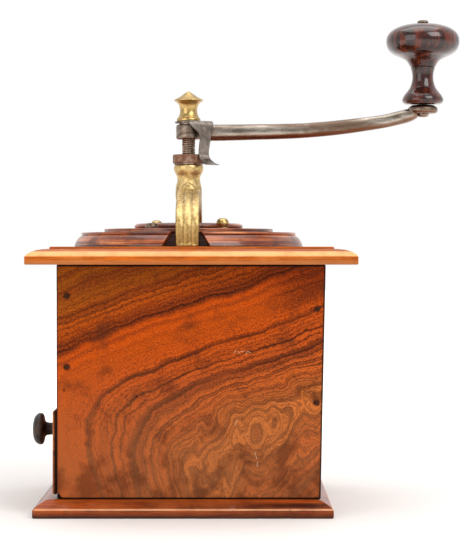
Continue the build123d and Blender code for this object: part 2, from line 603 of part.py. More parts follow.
def spindle(pin):
    """Shaft from the lower bearing up to the finial, keyed for the washer, square for the crank."""
    shaft = rod(JOURNAL_R, (SPINDLE_BOTTOM_Z, JOURNAL_TOP_Z))
    shaft += rod(SPINDLE_R, (JOURNAL_TOP_Z, HUB_Z[0]))
    shaft += slab((-SQUARE / 2, SQUARE / 2), (-SQUARE / 2, SQUARE / 2), (HUB_Z[0], HUB_Z[1] - 0.3))
    shaft += rod(SPINDLE_THREAD_R, (HUB_Z[1] - 0.3, SPINDLE_TOP_Z))
    shaft -= slab((-SPINDLE_R - 1, KEY_DEPTH - SPINDLE_R), (-KEY_WIDTH / 2, KEY_WIDTH / 2), KEY_Z)
    out("spindle", shaft - pin)

    washer = rod(WASHER_R, (HEAD_TOP_Z + RUNNING_GAP, WASHER_TOP_Z))
    washer -= rod(SPINDLE_R + RUNNING_GAP, (HEAD_TOP_Z, WASHER_TOP_Z))
    tab_tip = KEY_DEPTH - SPINDLE_R - KEY_PLAY
    washer += slab((-SPINDLE_R - 1, tab_tip), (-KEY_WIDTH / 2 + KEY_PLAY, KEY_WIDTH / 2 - KEY_PLAY),
                   (HEAD_TOP_Z + RUNNING_GAP, WASHER_TOP_Z))
    out("thrust_washer", washer)

    nut = rod(NUT_R, NUT_Z)
    nut = chamfer(nut.edges(), NUT_CHAMFER)
    nut -= rod(SPINDLE_R + RUNNING_GAP, NUT_Z)
    for notch in range(NUT_NOTCHES):
        cut = slab((NUT_R - NOTCH_DEPTH, NUT_R + 1), (-NOTCH_WIDTH / 2, NOTCH_WIDTH / 2),
                   (NUT_Z[0] - 0.1, NUT_Z[1] + 0.1))
        nut -= Rot(0, 0, notch * 360 / NUT_NOTCHES) * cut
    out("adjusting_nut", nut)


def crank_arm():
    """Forged bar from the hub out to the eye for the knob's pin."""
    line = Spline(*[(0, y, z) for y, z, _, _ in ARM_SECTIONS])
    places = [y for y, _, _, _ in ARM_SECTIONS]
    sections = []
    for step in range(ARM_STEPS + 1):
        share = step / ARM_STEPS
        middle = line @ share
        stage = max(i for i in range(len(places) - 1) if places[i] <= middle.Y + 1e-6)
        before, after = ARM_SECTIONS[stage], ARM_SECTIONS[stage + 1]
        part = (middle.Y - before[0]) / (after[0] - before[0])
        height = before[2] + (after[2] - before[2]) * part
        width = before[3] + (after[3] - before[3]) * part
        plane = Plane(origin=middle, x_dir=(1, 0, 0), z_dir=line % share)
        sections.append(plane * Ellipse(width / 2, height / 2))
    low, high = HUB_Z
    hub = turned([(0, low), (HUB_R - 0.6, low), (HUB_R, low + 0.6), (HUB_R, high - 0.6),
                  (HUB_R - 0.6, high), (0, high)])
    low, high = EYE_Z
    eye = turned([(0, low), (EYE_R - 1.2, low), (EYE_R - 0.3, low + 0.6), (EYE_R, low + 1.4),
                  (EYE_R, high - 1.2), (EYE_R - 0.4, high - 0.4), (EYE_R - 1.2, high),
                  (EYE_BOSS_R, high), (EYE_BOSS_R, EYE_BOSS_TOP_Z), (0, EYE_BOSS_TOP_Z)])
    arm = hub + loft(sections, ruled=True) + Pos(0, CRANK_Y, 0) * eye
    arm -= slab((-SQUARE / 2, SQUARE / 2), (-SQUARE / 2, SQUARE / 2), (HUB_Z[0] - 1, HUB_Z[1] + 1))
    arm -= rod(PIN_R, (EYE_Z[0], EYE_BOSS_TOP_Z + 1), 0, CRANK_Y)
    out("crank_arm", arm)

    pin = rod(PIN_R, (EYE_Z[0], PIN_HEAD_Z[0]), 0, CRANK_Y)
    dome = rod(PIN_HEAD_R, PIN_HEAD_Z, 0, CRANK_Y)
    pin += fillet(dome.edges().group_by(Axis.Z)[-1], 1.5)
    peen = rod(PEEN_R, (EYE_Z[0] - PEEN, EYE_Z[0]), 0, CRANK_Y)
    pin += fillet(peen.edges().group_by(Axis.Z)[0], 1.2)
    out("knob_pin", pin)


def hub_stack():
    """What the finial clamps on the hub: a small washer and the catch's plate; then the finial."""
    bore = rod(SPINDLE_THREAD_R, (HUB_Z[1] - 1, SPINDLE_TOP_Z))
    washer = rod(HUB_WASHER_R, (HUB_Z[1], CATCH_PLATE_Z)) - bore
    out("hub_washer", washer)
    plate_z = (CATCH_PLATE_Z, CATCH_PLATE_Z + CATCH_SHEET)
    tongue = slab((0, CATCH_PLATE_END), CATCH_PLATE_SIDES, plate_z)
    plate = rod(CATCH_PLATE_R, plate_z) + Rot(0, 0, CATCH_AZIMUTH) * tongue
    out("catch_plate", plate - bore)

    low, high = FINIAL_Z
    outline = [(radius, low + rise) for radius, rise in FINIAL_OUTLINE]
    out("finial", turned([(0, low)] + outline + [(0, high)]) - bore)


def catch_strap():
    """Spring strip that hangs beside the arm, bent in above the nut and flared out below."""
    normals = []
    for index in range(len(CATCH_LINE)):
        a = CATCH_LINE[max(index - 1, 0)]
        b = CATCH_LINE[min(index + 1, len(CATCH_LINE) - 1)]
        run, rise = b[0] - a[0], b[1] - a[1]
        length = math.hypot(run, rise)
        normals.append((-rise / length, run / length))
    half = CATCH_SHEET / 2
    outer = [(p[0] + half * n[0], p[1] + half * n[1]) for p, n in zip(CATCH_LINE, normals)]
    inner = [(p[0] - half * n[0], p[1] - half * n[1]) for p, n in zip(CATCH_LINE, normals)]
    ribbon = extruded_xz(outer + list(reversed(inner)), (-12, 12))
    outline = extruded_yz(CATCH_OUTLINE, (0, 25))
    out("catch_strap", Rot(0, 0, CATCH_AZIMUTH) * (ribbon & outline))


def crank_knob():
    """Turned handle: a flat mushroom on a waisted stem with a flared foot."""
    low, high = KNOB_Z
    knob = turned([(0, low)] + KNOB_OUTLINE + [(0, high)]) - rod(PIN_R + RUNNING_GAP, (low - 1, high + 1))
    out("crank_knob", Pos(0, CRANK_Y, 0) * knob)


os.makedirs("parts", exist_ok=True)
plinth()
case_boards()
top_board()
drawer()
hopper()
cross_pin = burrs()
dome_shell()
dome_cap()
guide_screws()
shutter()
bridge()
spindle(cross_pin)
crank_arm()
hub_stack()
catch_strap()
crank_knob()
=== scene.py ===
# Looks of the hand crank coffee grinder: figured walnut, varnished dome, cast brass and worn steel,
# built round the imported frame. Metres, in the frame's own axes.
import json
import math

import bmesh
import bpy
from mathutils import Matrix, Vector, noise


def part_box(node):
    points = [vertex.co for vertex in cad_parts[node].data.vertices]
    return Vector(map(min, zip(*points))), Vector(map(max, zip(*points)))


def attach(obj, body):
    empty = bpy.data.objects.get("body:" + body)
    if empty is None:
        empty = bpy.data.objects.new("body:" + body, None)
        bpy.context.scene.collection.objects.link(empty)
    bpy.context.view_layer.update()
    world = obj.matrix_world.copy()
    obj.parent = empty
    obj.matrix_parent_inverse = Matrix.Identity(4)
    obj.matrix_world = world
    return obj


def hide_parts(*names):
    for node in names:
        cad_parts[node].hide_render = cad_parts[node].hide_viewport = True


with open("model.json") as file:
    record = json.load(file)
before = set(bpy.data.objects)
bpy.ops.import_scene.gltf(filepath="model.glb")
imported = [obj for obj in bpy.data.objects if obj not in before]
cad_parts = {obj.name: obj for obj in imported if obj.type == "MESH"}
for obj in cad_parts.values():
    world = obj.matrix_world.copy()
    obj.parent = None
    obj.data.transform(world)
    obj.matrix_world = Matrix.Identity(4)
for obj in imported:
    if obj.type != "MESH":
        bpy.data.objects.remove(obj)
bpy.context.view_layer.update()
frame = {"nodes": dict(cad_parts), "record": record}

MM = 0.001

# ---- camera ----
CAMERA_PLACE = (1.050, 0.0230, 0.1368)
CAMERA_LENS = 123.0
CAMERA_DIP = math.radians(0.67)

# ---- sizes in mm that more than one part uses ----
BRIDGE_HALF = 6.35      # half the width of the bridge's legs
BRIDGE_SHIFT = 0.5      # the casting leans this far to the back
HOOK_ROUND = 46.0       # how gently the walnut's growth lines turn down on the left
HEART_ROUND = 16.0      # and how gently they close under the heart
BOARD_WEAR = 0.7        # how far the boards' edges are rounded
CORE_DEPTH = 2.0        # how far the block behind the broken corner, painted dark as shadow, lies below the face
NAIL_FLAT = 0.66        # height of a nail head against its width

# Stains on the side boards, the first four round the nails: level mm, height mm, radius mm, darkness.
NAIL_MARKS = [(-61.9, 115.0, 2.6, 0.8), (-61.9, 78.0, 2.6, 0.8), (68.4, 108.2, 2.4, 0.8),
              (67.9, 59.4, 2.4, 0.8), (-25.5, 62.6, 1.1, 0.7), (-63.2, 66.0, 1.3, 0.6)]
# Pale scratches on the right side board: level mm, height mm, length mm, degrees.
SCRATCHES = [(25.6, 86.0, 1.4, 60), (27.6, 85.6, 1.0, -40), (29.4, 86.2, 1.6, 15), (31.6, 85.4, 1.2, 70),
             (33.0, 85.8, 1.0, -20), (26.2, 49.0, 2.2, 75), (36.4, 32.0, 3.2, 105), (37.2, 27.5, 2.0, 80)]


# ---- Node helpers ----

class Value:
    """Output of a node. Sums and products of values are nodes as well."""

    def __init__(self, nodes, socket):
        self.nodes, self.socket = nodes, socket

    def __add__(self, other):
        return self.nodes.math("ADD", self, other)

    def __radd__(self, other):
        return self.nodes.math("ADD", other, self)

    def __sub__(self, other):
        return self.nodes.math("SUBTRACT", self, other)

    def __rsub__(self, other):
        return self.nodes.math("SUBTRACT", other, self)

    def __mul__(self, other):
        return self.nodes.math("MULTIPLY", self, other)

    def __abs__(self):
        return self.nodes.math("ABSOLUTE", self)


class Nodes:
    """A material's node tree with short calls for the nodes used here."""

    SOCKETS = {"base_color": "Base Color", "roughness": "Roughness", "metallic": "Metallic",
               "normal": "Normal", "coat": "Coat Weight", "coat_roughness": "Coat Roughness",
               "specular": "Specular IOR Level",
               "glow_colour": "Emission Color", "glow": "Emission Strength"}

    def __init__(self, name):
        self.material = bpy.data.materials.new(name)
        self.material.use_nodes = True
        self.tree = self.material.node_tree
        self.tree.nodes.clear()
        self.output = self.tree.nodes.new("ShaderNodeOutputMaterial")
        self.shader = self.tree.nodes.new("ShaderNodeBsdfPrincipled")
        self.tree.links.new(self.shader.outputs["BSDF"], self.output.inputs["Surface"])

    def link(self, value, socket):
        """Link a socket, or set a plain value."""
        if isinstance(value, Value):
            self.tree.links.new(value.socket, socket)
        else:
            socket.default_value = value

    def new(self, kind, *values):
        """New node of one kind, with its first inputs linked or set."""
        node = self.tree.nodes.new("ShaderNode" + kind)
        for value, socket in zip(values, node.inputs):
            self.link(value, socket)
        return node

    def set(self, **values):
        """Set the shader's own sockets."""
        for key, value in values.items():
            self.link(value, self.shader.inputs[self.SOCKETS[key]])

    def place(self):
        """The piece's own coordinates, which are the frame's at rest."""
        return Value(self, self.new("TexCoord").outputs["Object"])

    def split(self, vector):
        return [Value(self, output) for output in self.new("SeparateXYZ", vector).outputs]

    def join(self, x, y, z):
        return Value(self, self.new("CombineXYZ", x, y, z).outputs[0])

    def math(self, operation, a, b=0.0, c=0.0, clamp=False):
        node = self.new("Math", a, b, c)
        node.operation = operation
        node.use_clamp = clamp
        return Value(self, node.outputs[0])

    def length(self, vector):
        node = self.new("VectorMath", vector)
        node.operation = "LENGTH"
        return Value(self, node.outputs["Value"])

    def noise(self, vector, scale, detail=2.0, rough=0.5, distortion=0.0, dims="3D"):
        """Value noise in 0..1. In one dimension, vector is the number to look up."""
        node = self.new("TexNoise")
        node.noise_dimensions = dims
        self.link(vector, node.inputs["W" if dims == "1D" else "Vector"])
        for key, number in (("Scale", scale), ("Detail", detail), ("Roughness", rough),
                            ("Distortion", distortion)):
            node.inputs[key].default_value = number
        return Value(self, node.outputs["Fac"])

    def ramp(self, value, stops):
        """Colour ramp. Stops are (place, colour) with grey given as one number."""
        node = self.new("ValToRGB", value)
        elements = node.color_ramp.elements
        while len(elements) < len(stops):
            elements.new(0.5)
        for element, (place, colour) in zip(elements, stops):
            element.position = place
        for element, (place, colour) in zip(elements, stops):
            element.color = (colour,) * 3 + (1,) if isinstance(colour, (int, float)) else (*colour, 1)
        return Value(self, node.outputs[0])

    def remap(self, value, low, high, to_low=0.0, to_high=1.0, smooth=False):
        node = self.new("MapRange", value, low, high, to_low, to_high)
        node.interpolation_type = "SMOOTHSTEP" if smooth else "LINEAR"
        return Value(self, node.outputs[0])

    def mix(self, share, a, b):
        node = self.new("Mix")
        node.data_type = "RGBA"
        self.link(share, node.inputs[0])
        self.link((*a, 1) if isinstance(a, tuple) else a, node.inputs[6])
        self.link((*b, 1) if isinstance(b, tuple) else b, node.inputs[7])
        return Value(self, node.outputs[2])

    def bump(self, height, strength, distance):
        node = self.new("Bump")
        node.inputs["Strength"].default_value = strength
        node.inputs["Distance"].default_value = distance
        self.link(height, node.inputs["Height"])
        return Value(self, node.outputs[0])


def rgb(red, green, blue):
    """Linear colour from screen values of 0 to 255."""
    def linear(value):
        share = value / 255
        return share / 12.92 if share <= 0.04045 else ((share + 0.055) / 1.055) ** 2.4
    return linear(red), linear(green), linear(blue)


# ---- Wood ----

def growth_lines(n, ring, per_mm, width):
    """Dark lines at uneven steps across the rings and of uneven strength. width is half a line in mm."""
    node = n.new("TexVoronoi")
    node.voronoi_dimensions = "1D"
    n.link(ring, node.inputs["W"])
    node.inputs["Scale"].default_value = per_mm
    strength = n.remap(n.split(Value(n, node.outputs["Color"]))[0], 0.15, 0.85, 0.4, 1.0)
    reach = width * per_mm
    return n.remap(Value(n, node.outputs["Distance"]), reach * 0.25, reach, 1.0, 0.0) * strength


def stained(n, colour, level, z, marks):
    for mark_level, mark_up, radius, darkness in marks:
        reach = n.length(n.join(level - mark_level * MM, z - mark_up * MM, 0.0))
        share = n.remap(reach, radius * 0.45 * MM, radius * MM, darkness, 0.0, smooth=True)
        colour = n.mix(share, colour, rgb(34, 14, 7))
    return colour


def scratched(n, colour, level, z, scratches):
    for mark_level, mark_up, length, lean in scratches:
        cosine, sine = math.cos(math.radians(lean)), math.sin(math.radians(lean))
        dx, dz = level - mark_level * MM, z - mark_up * MM
        lengthways = abs(dx * cosine + dz * sine)
        sideways = abs(dz * cosine - dx * sine)
        fine = n.remap(sideways, 0.05 * MM, 0.26 * MM, 0.5, 0.0)
        short = n.remap(lengthways, length / 2 * MM, (length / 2 + 0.6) * MM, 1.0, 0.0)
        colour = n.mix(fine * short, colour, rgb(216, 190, 150))
    return colour


def painted_edge_shade(n, colour, x, level, z, low, high, lean, foot_z, top_z, face):
    """Painted shade along the outer face's edges, and painted shadow inside the broken corner."""
    outside = n.remap(x, (face - 1.0) * MM, (face - 0.3) * MM, 0.0, 0.94)
    from_low, from_foot = level - low * MM, z - foot_z * MM
    high_place = high * MM + (z - top_z * MM) * lean
    # painted shade: the gap by the drawer, the back edge, the line over the plinth and the shadow under the
    # top board
    for distance, width in ((from_low, 0.2), (high_place - level, 0.55), (from_foot, 0.75),
                            (top_z * MM - z, 0.8)):
        edge_shade = n.remap(distance, width * MM, (width + 0.6) * MM, 1.0, 0.0)
        colour = n.mix(edge_shade * outside, colour, rgb(18, 8, 5))
    # painted shadow on the block's face inside the broken corner
    inside = n.remap(x, (face - 1.2) * MM, (face - 0.5) * MM, 1.0, 0.0)
    corner = n.length(n.join(from_low, from_foot, 0.0))
    near = n.remap(corner, 6.5 * MM, 8.0 * MM, 1.0, 0.0) * inside
    return n.mix(near, colour, rgb(12, 7, 5))


def figured_walnut(name, across, centre_mm, flip=1, marks=(), scratches=(), edges=None, lip=None,
                   other=(0.0, 0.0)):
    """Varnished walnut with hooked growth lines round a heart. across is the board's level axis.

    marks are (level mm, height mm, radius mm, darkness) stains, such as those round the nails.
    scratches are (level mm, height mm, length mm, degrees) pale marks. edges is (low level, high level,
    lean per mm of height, foot height, top height, outer face) in mm: painted shade darkens the outer face
    there.
    other is (place in the log, mm across the rings), so that no two boards have the same figure.
    lip is (Y, X) in mm: a drawer front's lip is painted dark as shadow behind this Y and further out than
    this X."""
    n = Nodes(name)
    x, y, z = n.split(n.place())
    level = {"x": x, "y": y}[across]
    right = (level - centre_mm[0] * MM) * (1000.0 * flip)
    up = (z - centre_mm[1] * MM) * 1000.0
    flat = n.join(right, up, other[0])

    # the growth lines run up to the right above the heart and turn down on its left
    slow = n.noise(flat, 0.022, 2.0, 0.5)
    quick = n.noise(flat, 0.095, 3.0, 0.6)
    shiver = n.noise(flat, 0.42, 2.0, 0.6)
    tall = n.join(right * 1.5, up * 0.75, other[0])
    swirl = n.noise(tall, 0.034, 2.0, 0.5, 0.6)
    line_out = right * -0.32 + up * 0.945
    line_left = right * -0.78 + up * -0.22 - 10.0
    line_under = right * 0.62 + up * -0.62
    ring = n.math("SMOOTH_MAX", line_out, line_left, HOOK_ROUND)
    ring = n.math("SMOOTH_MAX", ring, line_under, HEART_ROUND)
    heart = n.remap(ring, 34.0, 6.0, 0.0, 1.0, smooth=True)
    for value, size in ((slow, 9.0), (quick, 4.2), (shiver, 1.1)):
        ring = ring + (value - 0.5) * size
    ring = ring + (swirl - 0.5) * 36.0 * heart + other[1]
    share = n.remap(ring, -40.0, 110.0)
    along = right * 0.933 + up * 0.36
    far_right = n.remap(right, 6.0, 34.0, 0.0, 1.0, smooth=True)

    # broad tone across the rings; the plain band is lost again at its right end
    tone = n.ramp(share, [
        (0.00, rgb(164, 92, 44)), (0.22, rgb(184, 102, 46)), (0.34, rgb(202, 108, 44)),
        (0.43, rgb(192, 88, 28)), (0.50, rgb(172, 74, 24)),
        (0.56, rgb(184, 76, 16)), (0.63, rgb(186, 74, 10)), (0.68, rgb(184, 74, 5)),
        (0.755, rgb(182, 70, 5)), (0.765, rgb(118, 40, 4)), (0.80, rgb(154, 62, 6)),
        (0.84, rgb(168, 72, 8)), (0.89, rgb(152, 72, 8)), (1.00, rgb(150, 76, 10))])
    in_band = n.ramp(share, [(0.62, 0.0), (0.66, 1.0), (0.75, 1.0), (0.78, 0.0)])
    tone = n.mix(in_band * far_right * 0.85, tone, rgb(132, 48, 8))
    bands = n.noise(ring, 0.16, 1.0, 0.5, dims="1D")
    tone = n.mix(n.ramp(bands, [(0.36, 0.55), (0.52, 0.0)]), tone, rgb(112, 42, 12))

    # growth lines, which fade in and out along their length
    fading = n.noise(n.join(ring * 0.3, along * 0.035, 0.0), 1.0, 2.0)
    fading = n.remap(fading, 0.34, 0.56, 0.42, 1.0)
    busy = n.ramp(share, [(0.0, 0.7), (0.28, 0.75), (0.34, 1.0), (0.62, 1.0), (0.655, 0.12),
                          (0.745, 0.14), (0.775, 1.0), (0.86, 0.8), (0.93, 0.45), (1.0, 0.35)])
    busy = n.math("MAXIMUM", busy, far_right * 0.75) * fading
    thin = growth_lines(n, ring, 0.5, 0.48) * busy * n.remap(heart, 0.3, 1.0, 1.0, 0.75)
    middle = growth_lines(n, ring + 31.7, 0.24, 0.85) * busy
    wide = growth_lines(n, ring + 67.3, 0.14, 1.25) * n.remap(heart, 0.0, 1.0, 0.3, 1.0)
    colour = n.mix(wide * 0.85, tone, rgb(56, 24, 12))
    colour = n.mix(middle * 0.92, colour, rgb(48, 14, 5))
    colour = n.mix(thin * 0.85, colour, rgb(52, 16, 5))

    # pores: short dark dashes along the lines, and a fine speckle
    pores = n.noise(n.join(ring, along * 0.32, 0.0), 1.5, 2.0, 0.6)
    pores = n.ramp(pores, [(0.38, 1.0), (0.46, 0.0)])
    speckle = n.noise(flat, 1.35, 2.0, 0.75)
    colour = n.mix(pores * n.remap(busy, 0.1, 0.8, 0.22, 0.66), colour, rgb(58, 22, 8))
    colour = n.mix(n.ramp(speckle, [(0.40, 0.5), (0.50, 0.0)]), colour, rgb(64, 24, 8))
    colour = n.mix(n.ramp(speckle, [(0.57, 0.0), (0.72, 0.34)]), colour, rgb(228, 130, 48))

    # browner towards the foot, with a dim stain here and there and dark spots at the nails
    foot = n.remap(z, 0.095, 0.012, 0.0, 0.5, smooth=True)
    colour = n.mix(foot, colour, rgb(152, 94, 56))
    stain = n.noise(flat, 0.06, 3.0, 0.6) + n.remap(z, 0.04, 0.014, 0.0, 0.12)
    colour = n.mix(n.ramp(stain, [(0.53, 0.0), (0.68, 0.6)]), colour, rgb(74, 34, 16))
    colour = stained(n, colour, level, z, marks)
    colour = scratched(n, colour, level, z, scratches)
    if edges:
        colour = painted_edge_shade(n, colour, x, level, z, *edges)
    # painted shadow on the back and ends of the drawer front's lip
    if lip:
        behind = n.remap(y, lip[0] * MM, (lip[0] + 0.3) * MM, 0.0, 0.96)
        outer = n.remap(abs(x), lip[1] * MM, (lip[1] + 1) * MM, 0.0, 1.0)
        colour = n.mix(behind * outer, colour, rgb(14, 8, 6))
    height = pores * -1.0 + speckle * 0.6 - thin * 0.7
    gloss = n.noise(flat, 0.09, 3.0, 0.6)
    n.set(base_color=colour, roughness=n.remap(gloss, 0.3, 0.7, 0.38, 0.56),
          normal=n.bump(height, 0.35, 0.00012), coat=0.03, coat_roughness=0.2, specular=0.04)
    return n.material


def straight_wood(name, along, light, dark, edge, gloss=0.35, coat=0.05, highlight_band=None, low_tint=None):
    """Plainer varnished wood with its grain along one axis.

    edge is the tint of its worn patches. The painted highlight (height, height, tint) is paler between two
    heights in mm.
    The low tint (height, height, tint, share) grows from the first height down to the second."""
    n = Nodes(name)
    spot = n.place()
    x, y, z = n.split(spot)
    stretch = {"x": (0.035, 1.0, 1.0), "y": (1.0, 0.035, 1.0)}[along]
    place = n.join(*[value * (share / MM) for value, share in zip((x, y, z), stretch)])
    bands = n.noise(place, 0.16, 3.0, 0.55)
    tone = n.ramp(bands, [(0.34, dark), (0.48, tuple((a + b) / 2 for a, b in zip(light, dark))),
                          (0.60, light)])
    lines = n.noise(place, 1.1, 3.0, 0.6)
    line_mask = n.ramp(lines, [(0.38, 1.0), (0.52, 0.0)])
    colour = n.mix(line_mask * 0.5, tone, tuple(c * 0.42 for c in dark))
    pores = n.noise(place, 3.2, 2.0, 0.6)
    pore_mask = n.ramp(pores, [(0.34, 1.0), (0.46, 0.0)])
    colour = n.mix(pore_mask * 0.45, colour, tuple(c * 0.35 for c in dark))
    worn = n.noise(spot, 45.0, 3.0, 0.6)
    colour = n.mix(n.ramp(worn, [(0.45, 0.0), (0.75, 0.5)]), colour, edge)
    # painted highlight: a pale band where the moulding's arris catches the light, broken up in patches
    if highlight_band:
        low, high, tint = highlight_band
        middle, half = (low + high) / 2 * MM, (high - low) / 2 * MM
        away = abs(z - middle)
        patchy = n.remap(n.noise(spot, 90.0, 3.0, 0.6), 0.35, 0.55, 0.7, 1.0)
        share = n.remap(away, half * 0.5, half, 0.85, 0.0, smooth=True) * patchy
        colour = n.mix(share, colour, tint)
    # the colour turns towards the tint lower down: duller on the top board, darker on the plinth
    if low_tint:
        begins, full, tint, share = low_tint
        colour = n.mix(n.remap(z, begins * MM, full * MM, 0.0, share), colour, tint)
    height = lines * 0.5 - pore_mask
    n.set(base_color=colour, roughness=gloss, normal=n.bump(height, 0.3, 0.0001),
          coat=coat, coat_roughness=0.15, specular=0.12)
    return n.material


def knob_lacquer():
    """Dark red-brown lacquer worn through in streaks round the turning, under a high gloss."""
    n = Nodes("knob_lacquer")
    x, y, z = n.split(n.place())
    place = n.join(x * 260.0, y * 260.0, z * 60.0)
    figure = n.noise(place, 1.0, 4.0, 0.62, 0.6)
    colour = n.ramp(figure, [(0.34, rgb(20, 5, 4)), (0.47, rgb(48, 16, 9)), (0.57, rgb(84, 32, 17)),
                             (0.70, rgb(112, 50, 26))])
    flecks = n.noise(n.join(x * 900.0, y * 900.0, z * 240.0), 1.0, 2.0, 0.6)
    colour = n.mix(n.ramp(flecks, [(0.36, 0.7), (0.47, 0.0)]), colour, rgb(14, 3, 3))
    n.set(base_color=colour, roughness=0.24, normal=n.bump(flecks, 0.12, 0.0001), coat=0.6,
          coat_roughness=0.06, specular=0.25)
    return n.material


# ---- Metal ----

def metal(name, base, dark, roughness, spread, patch_scale, patch_share, patch, bump=0.12, metallic=1.0,
          patch_rough=0.7, drawn=False, specular=0.5):
    """Worn metal: fine mottling, and duller patches of patina or rust.

    drawn metal was forged out along Y: its mottling is longer there, and its underside has a painted brown
    reflection in patches."""
    n = Nodes(name)
    place = n.place()
    if drawn:
        x, y, z = n.split(place)
        place = n.join(x, y * 0.22, z)
    mottle = n.noise(place, 420.0, 3.0, 0.6)
    broad = n.noise(place, patch_scale, 4.0, 0.62, 0.4)
    colour = n.mix(n.ramp(mottle, [(0.35, 0.0), (0.68, 1.0)]), dark, base)
    edge = 0.66 - patch_share * 0.3
    patches = n.ramp(broad, [(edge - 0.08, 0.0), (edge + 0.06, 1.0)])
    colour = n.mix(patches * 0.85, colour, patch)
    if drawn:
        # painted reflection: brown on the underside, in patches, as from the walnut below
        facing = n.split(Value(n, n.new("NewGeometry").outputs["Normal"]))[2]
        below = n.remap(facing, -0.25, -0.6, 0.0, 0.75) * n.remap(broad, 0.3, 0.5, 0.6, 1.0)
        colour = n.mix(below, colour, rgb(118, 66, 38))
    fine = n.noise(place, 1900.0, 2.0, 0.6)
    rough = n.remap(mottle * 0.6 + fine * 0.4, 0.3, 0.7, roughness - spread, roughness + spread)
    rough = n.math("ADD", rough, patches * (patch_rough - roughness), clamp=True)
    height = mottle * 0.7 + fine * 0.3
    n.set(base_color=colour, roughness=rough, metallic=metallic, specular=specular,
          normal=n.bump(height, bump, 0.00015))
    return n.material


def cast_brass():
    """Cast brass with a sandy skin, dark in the grooves between its reeds and dull in patches, with painted
    shade low on its legs.
    """
    n = Nodes("cast_brass")
    place = n.place()
    x, y, z = n.split(place)
    sand = n.noise(place, 700.0, 3.0, 0.65)
    broad = n.noise(place, 150.0, 3.0, 0.6)
    colour = n.mix(n.ramp(sand, [(0.34, 0.0), (0.62, 1.0)]), rgb(172, 142, 86), rgb(220, 194, 138))
    colour = n.mix(n.ramp(broad, [(0.52, 0.0), (0.68, 0.6)]), colour, rgb(136, 104, 54))
    # painted shade: the legs darken towards their feet, whose upright faces catch less light
    leg_foot_shade = n.remap(z, 0.160, 0.143, 0.0, 0.75, smooth=True)
    colour = n.mix(leg_foot_shade, colour, rgb(150, 114, 58))
    across = y - BRIDGE_SHIFT * MM
    reed = (across * (1 / (BRIDGE_HALF * MM)) + 1.0) * 1.5
    off_centre = abs(n.math("FRACT", reed) - 0.5)
    groove = n.remap(off_centre, 0.36, 0.47, 0.0, 0.55, smooth=True)
    groove = groove * n.remap(z, 0.1745, 0.1725, 0.0, 1.0)
    groove = groove * n.remap(broad, 0.35, 0.6, 0.6, 1.0)
    colour = n.mix(groove, colour, rgb(96, 72, 36))
    n.set(base_color=colour, metallic=1.0, normal=n.bump(sand, 0.3, 0.0002),
          roughness=n.remap(sand, 0.3, 0.7, 0.36, 0.56))
    return n.material


def varnished_sheet():
    """Sheet steel under a red-brown varnish, darker in streaks, with chips along its edges, and painted
    shadow at its foot.
    """
    n = Nodes("varnished_sheet")
    place = n.place()
    x, y, z = n.split(place)
    radius = n.length(n.join(x, y, 0.0))
    turn = n.math("ARCTAN2", y, x) * 2.2
    streak_place = n.join(radius * 1000.0, z * 1000.0, turn)
    streaks = n.noise(streak_place, 0.6, 4.0, 0.65)
    colour = n.ramp(streaks, [(0.30, rgb(56, 22, 11)), (0.44, rgb(106, 46, 22)),
                              (0.56, rgb(158, 84, 44)), (0.70, rgb(200, 130, 80))])
    blotch = n.noise(place, 70.0, 4.0, 0.6)
    colour = n.mix(n.ramp(blotch, [(0.46, 0.0), (0.66, 0.75)]), colour, rgb(62, 20, 14))
    chips = n.noise(place, 330.0, 3.0, 0.6)
    chip_mask = n.ramp(chips, [(0.66, 0.0), (0.71, 1.0)])
    colour = n.mix(chip_mask, colour, rgb(58, 54, 50))
    # painted shadow: a dark line along the ring's foot, where it meets the top board
    colour = n.mix(n.remap(z, 0.1416, 0.1411, 0.0, 0.92), colour, rgb(22, 12, 9))
    n.set(base_color=colour, roughness=n.remap(blotch, 0.3, 0.7, 0.22, 0.40),
          normal=n.bump(blotch - chip_mask * 0.5, 0.2, 0.0002),
          coat=0.32, coat_roughness=0.1, specular=0.3)
    return n.material


# Slot: name, tone, darker tone, roughness, its spread, patches per metre, their share, their tone, the rest.
METALS = {
    "nail_iron": ("nail_iron", rgb(44, 27, 18), rgb(20, 12, 8), 0.8, 0.1, 900.0, 0.5, rgb(72, 38, 20),
                  {"bump": 0.5, "metallic": 0.0, "patch_rough": 0.9, "specular": 0.08}),
    "dark_knob": ("dark_horn", rgb(50, 42, 38), rgb(16, 13, 13), 0.36, 0.08, 160.0, 0.3, rgb(80, 60, 48),
                  {"metallic": 0.25}),
    "iron": ("rusty_iron", rgb(66, 56, 50), rgb(30, 24, 22), 0.55, 0.1, 200.0, 0.6, rgb(78, 40, 20),
             {"metallic": 0.6}),
    "burr_steel": ("burr_steel", rgb(120, 116, 112), rgb(70, 66, 62), 0.45, 0.1, 150.0, 0.3,
                   rgb(74, 50, 36), {}),
    "worn_steel": ("worn_steel", rgb(176, 158, 140), rgb(126, 108, 92), 0.40, 0.1, 180.0, 0.4,
                   rgb(112, 80, 58), {}),
    "nut_steel": ("nut_steel", rgb(204, 188, 172), rgb(150, 128, 110), 0.34, 0.08, 110.0, 0.6,
                  rgb(116, 70, 44), {"patch_rough": 0.6}),
    "spring_steel": ("spring_steel", rgb(142, 132, 124), rgb(110, 100, 92), 0.32, 0.06, 120.0, 0.2,
                     rgb(104, 84, 70), {"bump": 0.05, "patch_rough": 0.45}),
    "bright_steel": ("bright_steel", rgb(176, 166, 154), rgb(132, 120, 108), 0.28, 0.08, 90.0, 0.45,
                     rgb(96, 74, 58), {"bump": 0.06, "patch_rough": 0.45, "drawn": True}),
    "polished_brass": ("polished_brass", rgb(190, 162, 106), rgb(172, 142, 88), 0.32, 0.05, 130.0, 0.15,
                       rgb(136, 106, 60), {"bump": 0.03, "patch_rough": 0.42}),
}


